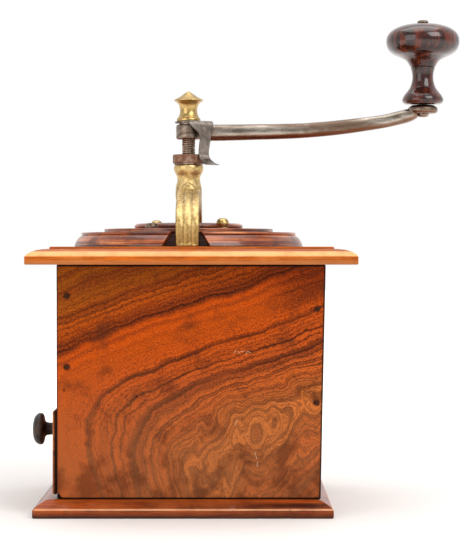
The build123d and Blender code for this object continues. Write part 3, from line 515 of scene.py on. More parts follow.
def make_materials():
    """Every material by its slot name, plus the boards' own ones."""
    made = {slot: metal(*values, **rest) for slot, (*values, rest) in METALS.items()}
    made["cast_brass"] = cast_brass()
    made["varnished_steel"] = varnished_sheet()
    made["dark_wood"] = knob_lacquer()
    made["side_right"] = figured_walnut("walnut_side_right", "y", (28.2, 39.1), marks=NAIL_MARKS,
                                        scratches=SCRATCHES, edges=(-67.2, 72.8, 0.0213, 9.1, 131.3, 70.0))
    made["side_left"] = figured_walnut("walnut_side_left", "y", (-22.0, 46.0), -1, marks=NAIL_MARKS[:4],
                                       other=(400.0, 12.0))
    front = {"across": "x", "centre_mm": (18.0, 20.0), "other": (800.0, -9.0)}
    made["front"] = figured_walnut("walnut_front", **front)
    made["drawer"] = figured_walnut("walnut_drawer", lip=(-68.7, 59.0), **front)
    made["back"] = figured_walnut("walnut_back", "x", (-30.0, 8.0), -1, other=(1200.0, 21.0))
    # the top board's pale band on its moulding is a painted highlight
    made["top"] = straight_wood("walnut_top", "y", rgb(188, 92, 14), rgb(142, 62, 8), rgb(196, 124, 58),
                                gloss=0.4, highlight_band=(135.2, 138.6, rgb(228, 172, 112)),
                                low_tint=(134.2, 132.2, rgb(158, 104, 62), 0.6))
    # the plinth strips get a painted highlight along their nose, and darken towards their foot
    for axis, strip, run in (("y", "side", "along"), ("x", "end", "across")):
        made["plinth_" + axis] = straight_wood(
            "walnut_plinth_" + strip, axis, rgb(156, 68, 24), rgb(58, 20, 8), rgb(164, 84, 36), gloss=0.3,
            coat=0.15, highlight_band=(4.0, 5.2, rgb(214, 152, 110)), low_tint=(3.4, 0.9, rgb(40, 22, 14), 0.8))
        made["plain_" + axis] = straight_wood("beech_" + run, axis, rgb(196, 150, 100), rgb(160, 112, 68),
                                              rgb(120, 78, 44), gloss=0.7, coat=0.0)
    return made


NODE_MATERIALS = {
    "adjusting_nut": "nut_steel", "guide_screws": "bright_steel", "catch_plate": "spring_steel",
    "drawer_front": "drawer", "bottom_board": "plain_x", "drawer_side_right": "plain_y",
    "drawer_side_left": "plain_y", "drawer_bottom": "plain_y", "drawer_back": "plain_x",
}
EDGE_WEAR = {"adjusting_nut": 0.3, "guide_screws": 0.25, "drawer_side_right": 0.4,
             "drawer_side_left": 0.4, "drawer_back": 0.4, "catch_plate": 0.15, "thrust_washer": 0.12}


def finish_cad_nodes():
    """Give every CAD node that is still shown its material and weld it, and soften the edges of those in
    EDGE_WEAR.
    """
    slots = {entry["node"]: entry["material_slot"] for entry in frame["record"]["subparts"]}
    for name, node in frame["nodes"].items():
        if node.hide_render:
            continue
        node.data.materials.clear()
        node.data.materials.append(materials[NODE_MATERIALS.get(name) or slots[name]])
        weld = node.modifiers.new("weld", "WELD")
        weld.merge_threshold = 0.00001
        if name in EDGE_WEAR:
            bevelled(node, EDGE_WEAR[name], angle=40)


# ---- Mesh helpers. Shapes are written in millimetres and turned into metres here. ----

def make_object(name, shape, material, smooth_angle=35):
    """Mesh object from millimetre vertices and faces, with sharp edges only where faces really meet."""
    vertices, faces = shape
    mesh = bpy.data.meshes.new(name)
    mesh.from_pydata([(x * MM, y * MM, z * MM) for x, y, z in vertices], [], faces)
    mesh.validate()
    mesh.materials.append(materials[material])
    built = bmesh.new()
    built.from_mesh(mesh)
    bmesh.ops.remove_doubles(built, verts=built.verts, dist=0.000001)
    bmesh.ops.recalc_face_normals(built, faces=built.faces)
    built.to_mesh(mesh)
    built.free()
    mesh.shade_smooth()
    mesh.set_sharp_from_angle(angle=math.radians(smooth_angle))
    piece = bpy.data.objects.new(name, mesh)
    bpy.context.scene.collection.objects.link(piece)
    return piece


def install(piece, body, slot, *nodes):
    """Tie a finished piece to its body, and hide the CAD nodes that it stands for. slot is not used."""
    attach(piece, body)
    if nodes:
        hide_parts(*nodes)


def bevelled(piece, width, segments=3, angle=35):
    modifier = piece.modifiers.new("edge", "BEVEL")
    modifier.width = width * MM
    modifier.segments = segments
    modifier.limit_method = "ANGLE"
    modifier.angle_limit = math.radians(angle)
    return piece


def flow(points, per_span=6):
    """Smooth line through points of any dimension. A point given twice in a row is a corner."""
    runs, run = [], [points[0]]
    for point in points[1:]:
        if point == run[-1]:
            runs.append(run)
            run = [point]
        else:
            run.append(point)
    runs.append(run)
    line = []
    for run in runs:
        if len(run) < 3:
            line += run
            continue
        for i in range(len(run) - 1):
            a, b = run[max(i - 1, 0)], run[i]
            c, d = run[i + 1], run[min(i + 2, len(run) - 1)]
            for step in range(per_span):
                t = step / per_span
                line.append(tuple(0.5 * (2 * q + (r - p) * t + (2 * p - 5 * q + 4 * r - s) * t * t
                                         + (3 * q - p - 3 * r + s) * t ** 3)
                                  for p, q, r, s in zip(a, b, c, d)))
        line.append(run[-1])
    cleaned = [line[0]]
    for point in line[1:]:
        if point != cleaned[-1]:
            cleaned.append(point)
    return cleaned


def loops_mesh(loops, ends=(True, True)):
    """Vertices and faces that join loops of equal length, one after another.

    ends says which ends are closed. Without them the last loop joins the first again, round a bore."""
    if ends is None:
        loops, ends = loops + [loops[0]], (False, False)
    count = len(loops[0])
    vertices = [point for loop in loops for point in loop]
    faces = []
    for start in range(0, len(vertices) - count, count):
        for i in range(count):
            j = (i + 1) % count
            faces.append((start + i, start + j, start + count + j, start + count + i))
    if ends[0]:
        faces.append(tuple(reversed(range(count))))
    if ends[1]:
        faces.append(tuple(range(len(vertices) - count, len(vertices))))
    return vertices, faces


def around(count):
    """Angle, cosine and sine at even steps round a circle."""
    angles = [2 * math.pi * i / count for i in range(count)]
    return [(angle, math.cos(angle), math.sin(angle)) for angle in angles]


def turned_loops(outline, segments=96):
    """Loops of a turned shape about Z. Where it closes it keeps a tiny radius."""
    loops = []
    for radius, height in outline:
        radius = max(radius, 0.0005)
        loops.append([(radius * cosine, radius * sine, height) for _, cosine, sine in around(segments)])
    return loops


def moved(shape, matrix):
    vertices, faces = shape
    return [tuple(matrix @ Vector(point)) for point in vertices], faces


def raised(base, outline):
    """Outline whose heights are counted from base."""
    return [(across, base + height) for across, height in outline]


def turned_piece(name, outline, material, segments=96, ends=(True, True), place=(0, 0, 0), turn=None):
    """Turned object: outline is (radius, height) in millimetres about its own axis."""
    shape = loops_mesh(turned_loops(flow(outline), segments), ends)
    matrix = Matrix.Translation(place) @ (turn or Matrix.Identity(4))
    return make_object(name, moved(shape, matrix), material)


def merged(shapes):
    """One shape from several."""
    vertices, faces = [], []
    for own_vertices, own_faces in shapes:
        base = len(vertices)
        vertices += own_vertices
        faces += [tuple(base + i for i in face) for face in own_faces]
    return vertices, faces


def fused(piece, voxel, smooth_steps=3):
    """Melt overlapping closed shapes into one skin, as in a casting or a forging."""
    remesh = piece.modifiers.new("skin", "REMESH")
    remesh.mode = "VOXEL"
    remesh.voxel_size = voxel * MM
    remesh.use_smooth_shade = True
    smooth = piece.modifiers.new("soft", "SMOOTH")
    smooth.factor = 0.5
    smooth.iterations = smooth_steps
    depsgraph = bpy.context.evaluated_depsgraph_get()
    mesh = bpy.data.meshes.new_from_object(piece.evaluated_get(depsgraph))
    material = piece.data.materials[0]
    piece.modifiers.clear()
    piece.data = mesh
    if not mesh.materials:
        mesh.materials.append(material)
    mesh.shade_smooth()
    return piece


def mm_box(node):
    """Lowest and highest corner of a CAD node in millimetres."""
    low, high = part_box(node)
    return low * 1000, high * 1000


# ---- Wooden pieces ----

def board(name, node, material, outline, core=None):
    """Board with softened edges, whose section in (Y, Z) is drawn out along X.

    core is a smaller section, drawn out only to CORE_DEPTH below the outer face."""
    low, high = mm_box(node)
    shape = loops_mesh([[(x, y, z) for y, z in outline] for x in (low.x, high.x)])
    if core:
        inner = [[(x, y, z) for y, z in core] for x in (low.x, high.x - CORE_DEPTH)]
        shape = merged([shape, loops_mesh(inner)])
    piece = bevelled(make_object(name, shape, material), BOARD_WEAR)
    install(piece, "case", "walnut", node)


def case_boards():
    """Sides, front and back. The back edge leans in, and the right side has lost a corner."""
    low, high = mm_box("side_panel_right")
    lean = high.y - max(v.co.y for v in frame["nodes"]["side_panel_right"].data.vertices
                        if v.co.z < (low.z + 1) * MM) / MM
    corner = [(low.y, low.z)]
    rest = [(high.y - lean, low.z), (high.y, high.z), (low.y, high.z)]
    broken = [(low.y, low.z + 3.4), (low.y + 1.5, low.z + 2.6), (low.y + 2.1, low.z + 1.2),
              (low.y + 3.9, low.z)]
    near, far, tall = low.y + 0.1, low.y + 6.0, low.z + 6.0
    core = [(near, low.z), (far, low.z), (far, tall), (near, tall)]
    board("right_side_board", "side_panel_right", "side_right", rest + broken, core=core)
    board("left_side_board", "side_panel_left", "side_left", corner + rest)
    low, high = mm_box("front_board")
    board("front_panel", "front_board", "front",
          [(low.y, low.z), (high.y, low.z), (high.y, high.z), (low.y, high.z)])
    low, high = mm_box("back_board")
    thick = high.y - low.y - lean
    board("back_panel", "back_board", "back",
          [(low.y, low.z), (low.y + thick, low.z), (high.y, high.z), (high.y - thick, high.z)])


def nails():
    """Wrought nail heads, a hair proud of the boards and hammered out of round."""
    low, high = mm_box("side_nails")
    heads = []
    for sign, face in ((1, high.x), (-1, low.x)):
        for index, (y, z, _, _) in enumerate(NAIL_MARKS[:4]):
            outline = flow([(0.9, -16.0), (0.9, -0.5), (0.9, -0.5), (1.45, -0.3), (1.6, 0.0), (1.3, 0.1),
                            (0.7, 0.16), (0, 0.17)], 3)
            loops = turned_loops(outline, 20)
            for loop in loops:
                for i, (a, b, c) in enumerate(loop):
                    swell = 1 + 0.16 * noise.noise(Vector((a, b, index * 3.1 + sign)))
                    loop[i] = (face + sign * c, y + a * swell, z + NAIL_FLAT * b * swell + 0.12 * a)
            heads.append(loops_mesh(loops))
    piece = make_object("hammered_nails", merged(heads), "nail_iron")
    install(piece, "case", "iron", "side_nails")


PLINTH_SIDES = ("front", "right", "back", "left")
PLINTH_CRACKS = {"right": 53.9}     # where a strip was broken and mended, along it


def plinth_strip(side):
    """Mitred strip of the plinth with a moulded edge that has small dents. side is 0 to 3."""
    name = PLINTH_SIDES[side]
    crack = PLINTH_CRACKS.get(name)
    along_x = name in ("front", "back")
    boxes = [mm_box("plinth_" + part) for part in PLINTH_SIDES]
    low = Vector([min(box[0][axis] for box in boxes) for axis in range(3)])
    high = Vector([max(box[1][axis] for box in boxes) for axis in range(3)])
    section = flow([(0.7, 0.0), (0.1, 0.4), (0.0, 1.0), (0.0, 4.0), (0.25, 4.7), (1.0, 5.4), (2.6, 6.6),
                    (4.4, 7.75), (6.2, 8.65), (7.5, 9.02), (8.2, 9.1), (8.2, 9.1), (18.0, 9.1)], 3)
    section += [(18.0, 9.1), (18.0, 0.0)]
    run = (low.x, high.x) if along_x else (low.y, high.y)
    stations = [run[0] + (run[1] - run[0]) * i / 150 for i in range(151)]
    if crack is not None:
        stations = sorted(stations + [crack + step for step in (-0.5, -0.2, 0.0, 0.2, 0.5)])
    loops = []
    for station in stations:
        loop = []
        for inset, height in section:
            dent = noise.noise(Vector((station * 0.22, side * 7.3, height * 0.3)))
            shaved = inset
            if inset < 3:
                shaved += max(0.0, dent - 0.28) * 1.6
                if crack is not None:
                    shaved += 0.5 * max(0.0, 1 - abs(station + 0.35 * (height - 4) - crack) / 0.35)
            place = min(max(station, run[0] + shaved + 0.02), run[1] - shaved - 0.02)
            loop.append({0: (place, low.y + shaved, height), 1: (high.x - shaved, place, height),
                         2: (place, high.y - shaved, height), 3: (low.x + shaved, place, height)}[side])
        loops.append(loop)
    piece = make_object(name + "_plinth", loops_mesh(loops), "plinth_x" if along_x else "plinth_y", 40)
    install(piece, "case", "dark_walnut", "plinth_" + name)


RIM = 128       # points round the top board and its hole


def square_loop(half, height, centre_y):
    """Square loop whose points stand at even angles, corners included."""
    loop = []
    for _, cosine, sine in around(RIM):
        reach = half / max(abs(cosine), abs(sine))
        loop.append((reach * cosine, centre_y + reach * sine, height))
    return loop


def moulded_top():
    """Top board: upright edge, thumbnail moulding, a small step, and the hopper's rebated hole."""
    low, high = mm_box("top_board")
    half, thick = (high.x - low.x) / 2, high.z - low.z
    centre = (low.y + high.y) / 2
    hopper_low, hopper_high = mm_box("hopper_bowl")
    rebate, hole = (hopper_high.x - hopper_low.x) / 2 + 0.05, 45.0
    section = raised(low.z, [
        (0.6, 0), (0.15, 0.25), (0.0, 0.8), (0.0, 2.4), (0.0, 3.7), (0.35, 4.5), (1.3, 5.5), (3.4, 6.75),
        (6.4, 7.65), (9.4, 8.05), (11.4, 8.15), (11.4, 8.15), (11.7, 8.25), (11.8, 8.7),
        (12.0, thick - 0.15), (12.7, thick), (12.7, thick)])
    loops = [square_loop(half - max(inset, 0), height, centre) for inset, height in flow(section, 5)]
    ledge = high.z - 1.2
    loops += turned_loops([(rebate, high.z), (rebate, ledge), (hole, ledge), (hole, low.z)], RIM)
    piece = make_object("moulded_top", loops_mesh(loops, None), "top", 28)
    install(piece, "case", "pale_walnut", "top_board")


def crank_knob():
    """Turned handle: flat mushroom, waisted stem and flared foot, with a fine scored line."""
    low, high = mm_box("crank_knob")
    tall = high.z - low.z
    outline = raised(low.z, [
        (2.45, 0), (2.45, 0), (8.4, 0), (10.4, 0.6), (11.35, 1.9), (11.25, 3.4), (10.2, 5.4), (8.6, 7.4),
        (7.2, 9.4), (6.35, 11.6), (5.85, 14.0), (5.8, 16.4), (6.2, 18.8), (6.75, 20.4), (6.75, 20.4),
        (6.55, 20.7), (6.95, 21.0), (6.95, 21.0), (7.9, 22.8), (9.4, 24.6), (12.4, 26.3), (16.0, 27.9),
        (18.6, 30.0), (19.9, 32.7), (20.25, 35.3), (19.8, 37.8), (18.4, 40.0), (15.6, 42.1), (11.2, 43.8),
        (6.4, 44.6), (3.4, tall), (3.4, tall), (2.45, tall)])
    piece = turned_piece("turned_crank_knob", outline, "dark_wood", 112, None, (0, (low.y + high.y) / 2, 0))
    install(piece, "knob", "dark_wood", "crank_knob")


def drawer_knob():
    """Small mushroom knob on a stem, turned about the drawer's own direction."""
    low, high = mm_box("drawer_knob")
    length = high.y - low.y
    outline = [(0.0, 0), (3.0, 0.08), (5.6, 0.55), (7.6, 1.7), (8.7, 3.3), (8.8, 4.7), (8.3, 5.7),
               (7.0, 6.3), (5.0, 6.7), (3.9, 7.4), (3.5, 9.0), (3.35, 11.0), (3.35, length - 2.4),
               (3.9, length - 1.2), (4.6, length - 0.6), (4.6, length), (4.6, length), (0, length)]
    piece = turned_piece("turned_drawer_knob", outline, "dark_knob", place=(0, low.y, (low.z + high.z) / 2),
                         turn=Matrix.Rotation(-math.pi / 2, 4, "X"))
    install(piece, "drawer", "dark_knob", "drawer_knob")


# ---- Dome ----

NOTCH_INNER_X = 49.5
NOTCH_HALF_FOOT, NOTCH_HALF_TOP = 12.6, 7.9
NOTCH_LIP = 1.1                 # how far the pressed edge of a notch is rounded over
WINDOW_R = (31.5, 45.0)
WINDOW_HALF = 20.0              # degrees


def ring_angles(radius, half_width):
    """Angles round the dome, in order from +X. Some keep to the notches' sides at this radius and height."""
    marks = [math.degrees(math.asin((half_width + extra) / radius))
             for extra in (-NOTCH_LIP, -0.6, -0.2, 0.5)]
    quarter = [marks[0] * share / 4 for share in range(4)] + marks
    step_from, step_to = marks[-1], 90 - WINDOW_HALF
    quarter += [step_from + (step_to - step_from) * share / 22 for share in range(1, 23)]
    quarter += [step_to + WINDOW_HALF * share / 10 for share in range(1, 10)]
    half = quarter + [90] + [180 - angle for angle in reversed(quarter)][:-1]
    return half + [180 + angle for angle in half]


def dome_ring():
    """Pressed ring with a lip, pushed in round the bridge's feet, and its web with two windows."""
    low, high = mm_box("dome_shell")
    foot, top = low.z, high.z
    flat = top - 2.3
    rise = flat - foot
    profile = flow(raised(foot, [
        (63.4, 0), (63.4, 0.5), (63.15, 1.4), (62.5, 3.0), (61.5, 4.5), (60.4, 5.6), (59.6, 6.2),
        (59.6, 6.2), (59.1, 6.35), (59.1, 6.35), (59.35, 6.7), (59.5, 7.2), (59.35, rise - 0.2),
        (58.8, rise), (58.0, rise - 0.1), (57.3, rise - 0.45), (56.4, rise - 0.5), (54.0, rise - 0.3),
        (50.0, rise), (50.0, rise)]), 4)
    profile += [(radius, flat) for radius in (49.4, 47.5, WINDOW_R[1], 38.0, WINDOW_R[0], 24.0, 19.7)]
    profile += [(19.7, top), (4.6, top)]
    loops = []
    for radius, height in profile:
        share = min(max((height - foot) / rise, 0), 1)
        half_width = NOTCH_HALF_FOOT + (NOTCH_HALF_TOP - NOTCH_HALF_FOOT) * share
        loop = []
        for angle in ring_angles(max(radius, NOTCH_INNER_X), half_width):
            x, y = radius * math.cos(math.radians(angle)), radius * math.sin(math.radians(angle))
            inside = min(max((half_width - abs(y)) / NOTCH_LIP, 0), 1)
            if radius > NOTCH_INNER_X and abs(x) > NOTCH_INNER_X and inside > 0:
                inside = math.sin(inside * math.pi / 2)
                x = math.copysign(abs(x) + (NOTCH_INNER_X - abs(x)) * inside, x)
            loop.append((x, y, height))
        loops.append(loop)
    vertices, faces = loops_mesh(loops, (False, False))
    kept = []
    for face in faces:
        middle = [sum(vertices[i][axis] for i in face) / len(face) for axis in (0, 1, 2)]
        radius = math.hypot(middle[0], middle[1])
        angle = math.degrees(math.atan2(middle[1], middle[0])) % 180
        in_window = WINDOW_R[0] < radius < WINDOW_R[1] and abs(angle - 90) < WINDOW_HALF
        if not (in_window and abs(middle[2] - flat) < 0.01):
            kept.append(face)
    piece = make_object("dome_ring", (vertices, kept), "varnished_steel", 40)
    solid = piece.modifiers.new("sheet", "SOLIDIFY")
    solid.thickness = 1.0 * MM
    solid.offset = -1.0
    install(piece, "case", "varnished_steel", "dome_shell")


def dome_cap():
    """Low round cap over the shutter, its edge rolled under."""
    low, high = mm_box("dome_cap")
    radius, tall = (high.x - low.x) / 2, high.z - low.z
    outline = raised(low.z, [
        (4.6, 1.6), (4.6, 1.6), (27.2, 1.6), (27.2, 1.6), (28.0, 0.25), (29.1, 0), (29.85, 0.45),
        (radius, 1.15), (29.75, 1.95), (28.6, 2.55), (26.4, 2.85), (20.0, tall - 0.1), (12.0, tall - 0.02),
        (4.6, tall), (4.6, tall)])
    piece = turned_piece("rolled_dome_cap", outline, "varnished_steel", 128, None)
    install(piece, "case", "varnished_steel", "dome_cap")


def shutter_knobs():
    """Two small flattened brass balls on the shutter, across its middle from each other."""
    low, high = mm_box("shutter_knobs")
    ball, tall = 3.4, 5.6
    outline = raised(high.z - tall, [
        (0, -1.5), (0, -1.5), (1.5, -1.5), (1.5, -1.5), (1.5, 0), (1.5, 0), (2.5, 0), (2.5, 0), (2.6, 0.35),
        (2.5, 0.6), (2.9, 1.2), (3.3, 2.1), (ball, 3.0), (3.1, 4.0), (2.4, 4.9), (1.3, 5.45), (0, tall)])
    knob = loops_mesh(turned_loops(flow(outline), 48))
    place = Vector(((high.x - low.x) / 2 - ball, (high.y - low.y) / 2 - ball, 0))
    pair = merged([moved(knob, Matrix.Translation(side)) for side in (place, -place)])
    piece = make_object("brass_shutter_knobs", pair, "polished_brass")
    install(piece, "shutter", "polished_brass", "shutter_knobs")


# ---- Bridge ----

LEG_INNER, LEG_OUTER = 50.0, 57.5
LEG_TOP = 151.0
ARCH_UNDER, ARCH_OVER = 164.6, 173.2
LEG_END_ANGLE = math.radians(85)        # the legs run into the head beside its bore
HEAD_BORE = 3.9
SHEATH_TOP, LOBE_HEIGHT, DROP_HEIGHT = 176.6, 178.4, 180.2      # the head's reliefs
HEAD_WIDEST = 8.2
FOOT_OUT, FOOT_HALF_X, FOOT_HALF_Y = 54.0, 4.15, 6.5
BRIDGE_GRAIN, CRANK_GRAIN = 0.32, 0.36      # how finely a cast or forged skin is drawn
HEAD_SEGMENTS = 120


def reeds(side):
    """How deep the leg's face is cut at a place across it, from -1 to 1: three rounded reeds."""
    place = (side + 1) * 1.5
    within = place - math.floor(place)
    return 1.05 * (1 - math.sqrt(max(0.0, 1 - (2 * within - 1) ** 2 * 0.98)))


def bridge_leg(sign, foot):
    """Reeded bar from one foot up and over to the middle."""
    loops = []
    steps = 44
    for step in range(steps + 1):
        share = step / steps
        if share < 0.25:
            height = foot + (LEG_TOP - foot) * share / 0.25
            outer, inner = (LEG_OUTER, height), (LEG_INNER, height)
        else:
            angle = LEG_END_ANGLE * (share - 0.25) / 0.75
            outer = (LEG_OUTER * math.cos(angle), LEG_TOP + (ARCH_OVER - LEG_TOP) * math.sin(angle))
            inner = (LEG_INNER * math.cos(angle), LEG_TOP + (ARCH_UNDER - LEG_TOP) * math.sin(angle))
        length = math.hypot(outer[0] - inner[0], outer[1] - inner[1])

        def point(across, cut):
            """Point of this section, cut this share of the way from its outer to its inner face."""
            return (sign * (outer[0] + (inner[0] - outer[0]) * cut), across + BRIDGE_SHIFT,
                    outer[1] + (inner[1] - outer[1]) * cut)

        loop = []
        for side in [-1 + i / 24 for i in range(49)]:
            loop.append(point(BRIDGE_HALF * side, (reeds(side) + 0.05) / length))
        for side in [1 - i / 4 for i in range(9)]:
            loop.append(point(BRIDGE_HALF * side * 0.97, 1 - 0.06 * side ** 4))
        loops.append(loop)
    return loops_mesh(loops)


def bridge_head():
    """Vase-shaped head: a pointed sheath rises on each leg's side, with a drop above it."""
    outline = flow([(6.3, 165.0), (7.2, 167.5), (7.35, 171.0), (7.15, 174.0), (6.55, 176.6), (6.35, 178.4),
                    (6.75, 180.4), (7.7, 182.2), (8.15, 183.6), (8.15, 185.2), (7.7, 186.1),
                    (7.2, 186.3)], 7)
    loops = []
    for radius, height in outline:
        loop = []
        for _, cosine, sine in around(HEAD_SEGMENTS):
            side, facing = sine * radius, abs(cosine)
            sheath = SHEATH_TOP - 0.80 * abs(side) - 0.03 * side * side
            lift = 0.8 / (1 + math.exp((height - sheath) / 0.2)) if facing > 0.25 else 0.0
            drop = 0.6 * math.exp(-(side / 1.3) ** 2 - ((height - DROP_HEIGHT) / 2.1) ** 2)
            drop = drop if facing > 0.4 else 0.0
            lobes = 0.3 * math.exp(-((abs(side) - 4.2) / 1.5) ** 2 - ((height - LOBE_HEIGHT) / 2.6) ** 2)
            share = min(1, max(0, (facing - 0.25) / 0.3))
            grown = min(radius + lift * share + drop - lobes, HEAD_WIDEST)
            loop.append((grown * cosine, grown * sine, height))
        loops.append(loop)
    bore = [(HEAD_BORE, outline[-1][1]), (HEAD_BORE, outline[0][1])]
    return loops_mesh(loops + turned_loops(bore, HEAD_SEGMENTS), None)


def bridge():
    """Brass bridge, cast in one: two reeded legs, their spread feet, and the head."""
    low, high = mm_box("bridge")
    foot = low.z
    parts = [bridge_leg(1, foot), bridge_leg(-1, foot), bridge_head()]
    for sign in (-1, 1):
        loops = []
        for inset, height in ((0.0, foot), (0.0, foot + 0.9), (0.5, foot + 1.5), (1.2, foot + 1.9)):
            loop = []
            for _, cosine, sine in around(40):
                reach = 1 / max(abs(cosine), abs(sine)) ** 0.8
                wobble = 1 + 0.03 * noise.noise(Vector((cosine * 2, sine * 2, sign)))
                loop.append((sign * FOOT_OUT + (FOOT_HALF_X - inset) * min(reach, 1.22) * cosine * wobble,
                             (FOOT_HALF_Y - inset) * min(reach, 1.16) * sine * wobble * 0.9, height))
            loops.append(loop)
        parts.append(loops_mesh(loops))
    piece = fused(make_object("cast_bridge", merged(parts), "cast_brass"), BRIDGE_GRAIN, 2)
    normals = [vertex.normal.copy() for vertex in piece.data.vertices]
    for vertex, normal in zip(piece.data.vertices, normals):
        place = vertex.co / MM
        rough = noise.noise(place * 0.55) * 0.07 + noise.noise(place * 1.7) * 0.035
        vertex.co += normal * (rough - 0.05) * MM
    install(piece, "case", "cast_brass", "bridge")


# ---- Spindle, nut, crank, catch ----

def spindle():
    """Shaft with a cut screw thread between the nut and the crank's hub."""
    low, high = mm_box("spindle")
    thread_from, thread_to = 183.0, 200.2
    pitch, root, crest = 1.25, 3.28, 3.72
    loops = turned_loops([(3.25, low.z), (3.25, 90.0), (3.75, 90.0), (3.75, thread_from)], 64)
    steps = int((thread_to - thread_from) / 0.13)
    for step in range(steps + 1):
        height = thread_from + (thread_to - thread_from) * step / steps
        loop = []
        for angle, cosine, sine in around(64):
            phase = (height / pitch - angle / (2 * math.pi)) % 1.0
            ridge = 1 - abs(2 * phase - 1)
            radius = root + (crest - root) * min(1.0, ridge * 1.5)
            loop.append((radius * cosine, radius * sine, height))
        loops.append(loop)
    loops += turned_loops([(3.6, 200.3), (3.6, 200.5), (2.5, 200.5), (2.5, high.z)], 64)
    piece = make_object("threaded_spindle", loops_mesh(loops), "worn_steel", 50)
    install(piece, "spindle", "worn_steel", "spindle")


def finial():
    """Turned brass nut on top: swelling base, waist, and a pointed cap with a fine rim."""
    low, high = mm_box("finial")
    outline = raised(low.z, [
        (2.5, 0), (2.5, 0), (6.1, 0), (6.1, 0), (6.5, 0.35), (6.6, 1.0), (6.45, 1.7), (5.9, 2.2), (5.9, 2.2),
        (5.75, 2.5), (5.35, 3.3), (4.95, 4.4), (4.78, 5.6), (4.78, 6.8), (4.95, 7.9), (5.3, 9.0),
        (5.9, 10.0), (6.8, 10.8), (7.6, 11.25), (7.95, 11.6), (7.95, 11.6), (8.0, 11.9), (7.9, 12.15),
        (7.9, 12.15), (7.3, 12.5), (6.0, 13.2), (4.5, 14.1), (3.0, 15.1), (1.7, 16.0), (0.8, 16.6),
        (0, high.z - low.z)])
    piece = turned_piece("turned_finial", outline, "polished_brass", ends=(False, True))
    install(piece, "spindle", "polished_brass", "finial")


def crank_arm():
    """Forged crank: hub, bowed round bar, and the thick eye that holds the knob's pin."""
    pin_low, pin_high = mm_box("knob_pin")
    centre_y = (pin_low.y + pin_high.y) / 2
    # distance from the axis, height of the middle, and the bar's own height and width
    stations = flow([
        (4.0, 204.4, 7.2, 7.2), (10.0, 204.2, 8.8, 8.2), (17.4, 204.2, 9.1, 8.6), (38.0, 204.6, 8.7, 8.3),
        (62.0, 205.3, 8.3, 8.0), (84.2, 207.2, 8.0, 7.7), (106.5, 210.2, 7.4, 7.2), (115.4, 212.1, 7.5, 7.5),
        (121.8, 213.7, 7.4, 9.6), (126.4, 215.2, 5.8, 9.6)], 6)
    loops = []
    for index, (y, z, height, width) in enumerate(stations):
        before = stations[max(index - 1, 0)]
        after = stations[min(index + 1, len(stations) - 1)]
        slope = math.atan2(after[1] - before[1], after[0] - before[0])
        loop = []
        for _, cosine, sine in around(32):
            across = width / 2 * math.copysign(abs(cosine) ** 0.92, cosine)
            rise = height / 2 * math.copysign(abs(sine) ** 0.92, sine)
            loop.append((across, y - rise * math.sin(slope), z + rise * math.cos(slope)))
        loops.append(loop)
    bar = loops_mesh(loops)
    hub_outline = [(0, 200.5), (6.2, 200.5), (6.8, 200.8), (6.95, 201.5), (6.95, 207.6), (6.8, 208.3),
                   (6.2, 208.6), (0, 208.6)]
    hub = loops_mesh(turned_loops(hub_outline, 72))
    eye_outline = [(0, 214.9), (6.6, 214.9), (7.7, 215.3), (8.25, 216.1), (8.3, 217.2), (8.0, 218.2),
                   (7.2, 218.75), (6.4, 218.85), (6.35, 219.4), (0, 219.4)]
    eye = moved(loops_mesh(turned_loops(eye_outline, 72)), Matrix.Translation((0, centre_y, 0)))
    piece = fused(make_object("forged_crank", merged([bar, hub, eye]), "bright_steel"), CRANK_GRAIN, 3)
    install(piece, "spindle", "bright_steel", "crank_arm")


def knob_pin():
    """Pin through the knob, with a domed head on top and its spread end under the eye."""
    low, high = mm_box("knob_pin")
    neck = high.z - low.z - 1.8
    outline = raised(low.z, [
        (0, 0), (1.8, 0.1), (2.9, 0.6), (3.35, 1.3), (3.4, 2.1), (3.4, 2.1), (2.4, 2.1), (2.4, 2.1),
        (2.4, neck), (2.4, neck), (3.0, neck), (3.0, neck), (3.1, neck + 0.5), (2.8, neck + 1.1),
        (1.9, neck + 1.6), (0, neck + 1.8)])
    piece = turned_piece("riveted_pin", outline, "bright_steel", place=(0, (low.y + high.y) / 2, 0))
    install(piece, "spindle", "bright_steel", "knob_pin")


CATCH_TURN = math.radians(30)      # the catch faces this far round from +X


def catch_strap():
    """Bent spring strip: wide shoulder over the arm, narrow neck, and a flared finger tab."""
    # distance out from the axis, height, and the two edges' sideways places
    stations = flow([(9.6, 210.0, -5.3, 9.4), (10.2, 209.6, -5.4, 9.5), (10.6, 208.4, -5.0, 9.6),
                     (10.75, 206.6, -3.6, 9.3), (10.8, 204.8, -1.2, 8.6), (10.8, 202.8, 0.7, 8.1),
                     (10.8, 200.6, 1.25, 7.8), (10.75, 198.2, 1.0, 7.5), (10.5, 195.5, 0.8, 7.1),
                     (10.3, 193.5, 0.75, 6.9), (10.3, 191.6, 0.8, 7.0), (10.9, 189.7, 0.9, 7.2),
                     (12.6, 188.2, 0.9, 7.6), (15.8, 186.6, 0.7, 8.1), (19.2, 185.85, 0.5, 8.5)], 5)
    loops = []
    for index, (out, height, left, right) in enumerate(stations):
        before, after = stations[max(index - 1, 0)], stations[min(index + 1, len(stations) - 1)]
        run, rise = after[0] - before[0], after[1] - before[1]
        length = math.hypot(run, rise)
        normal = (-rise / length, run / length)
        share = index / (len(stations) - 1)
        half = 0.45 - 0.2 * max(0.0, share - 0.75) / 0.25
        loop = []
        for thick, edges in ((half, (left, right)), (-half, (right, left))):
            for i in range(9):
                sideways = edges[0] + (edges[1] - edges[0]) * i / 8
                loop.append((out + normal[0] * thick, sideways, height + normal[1] * thick))
        loops.append(loop)
    strip = moved(loops_mesh(loops), Matrix.Rotation(CATCH_TURN, 4, "Z"))
    piece = bevelled(make_object("spring_catch", strip, "spring_steel"), 0.18, 2)
    install(piece, "catch", "worn_steel", "catch_strap")


# ---- Stage ----

FLOOR_REACH = 6.0
LIT_PLACE = Vector((0, 0, 0.1))     # what the lamps face


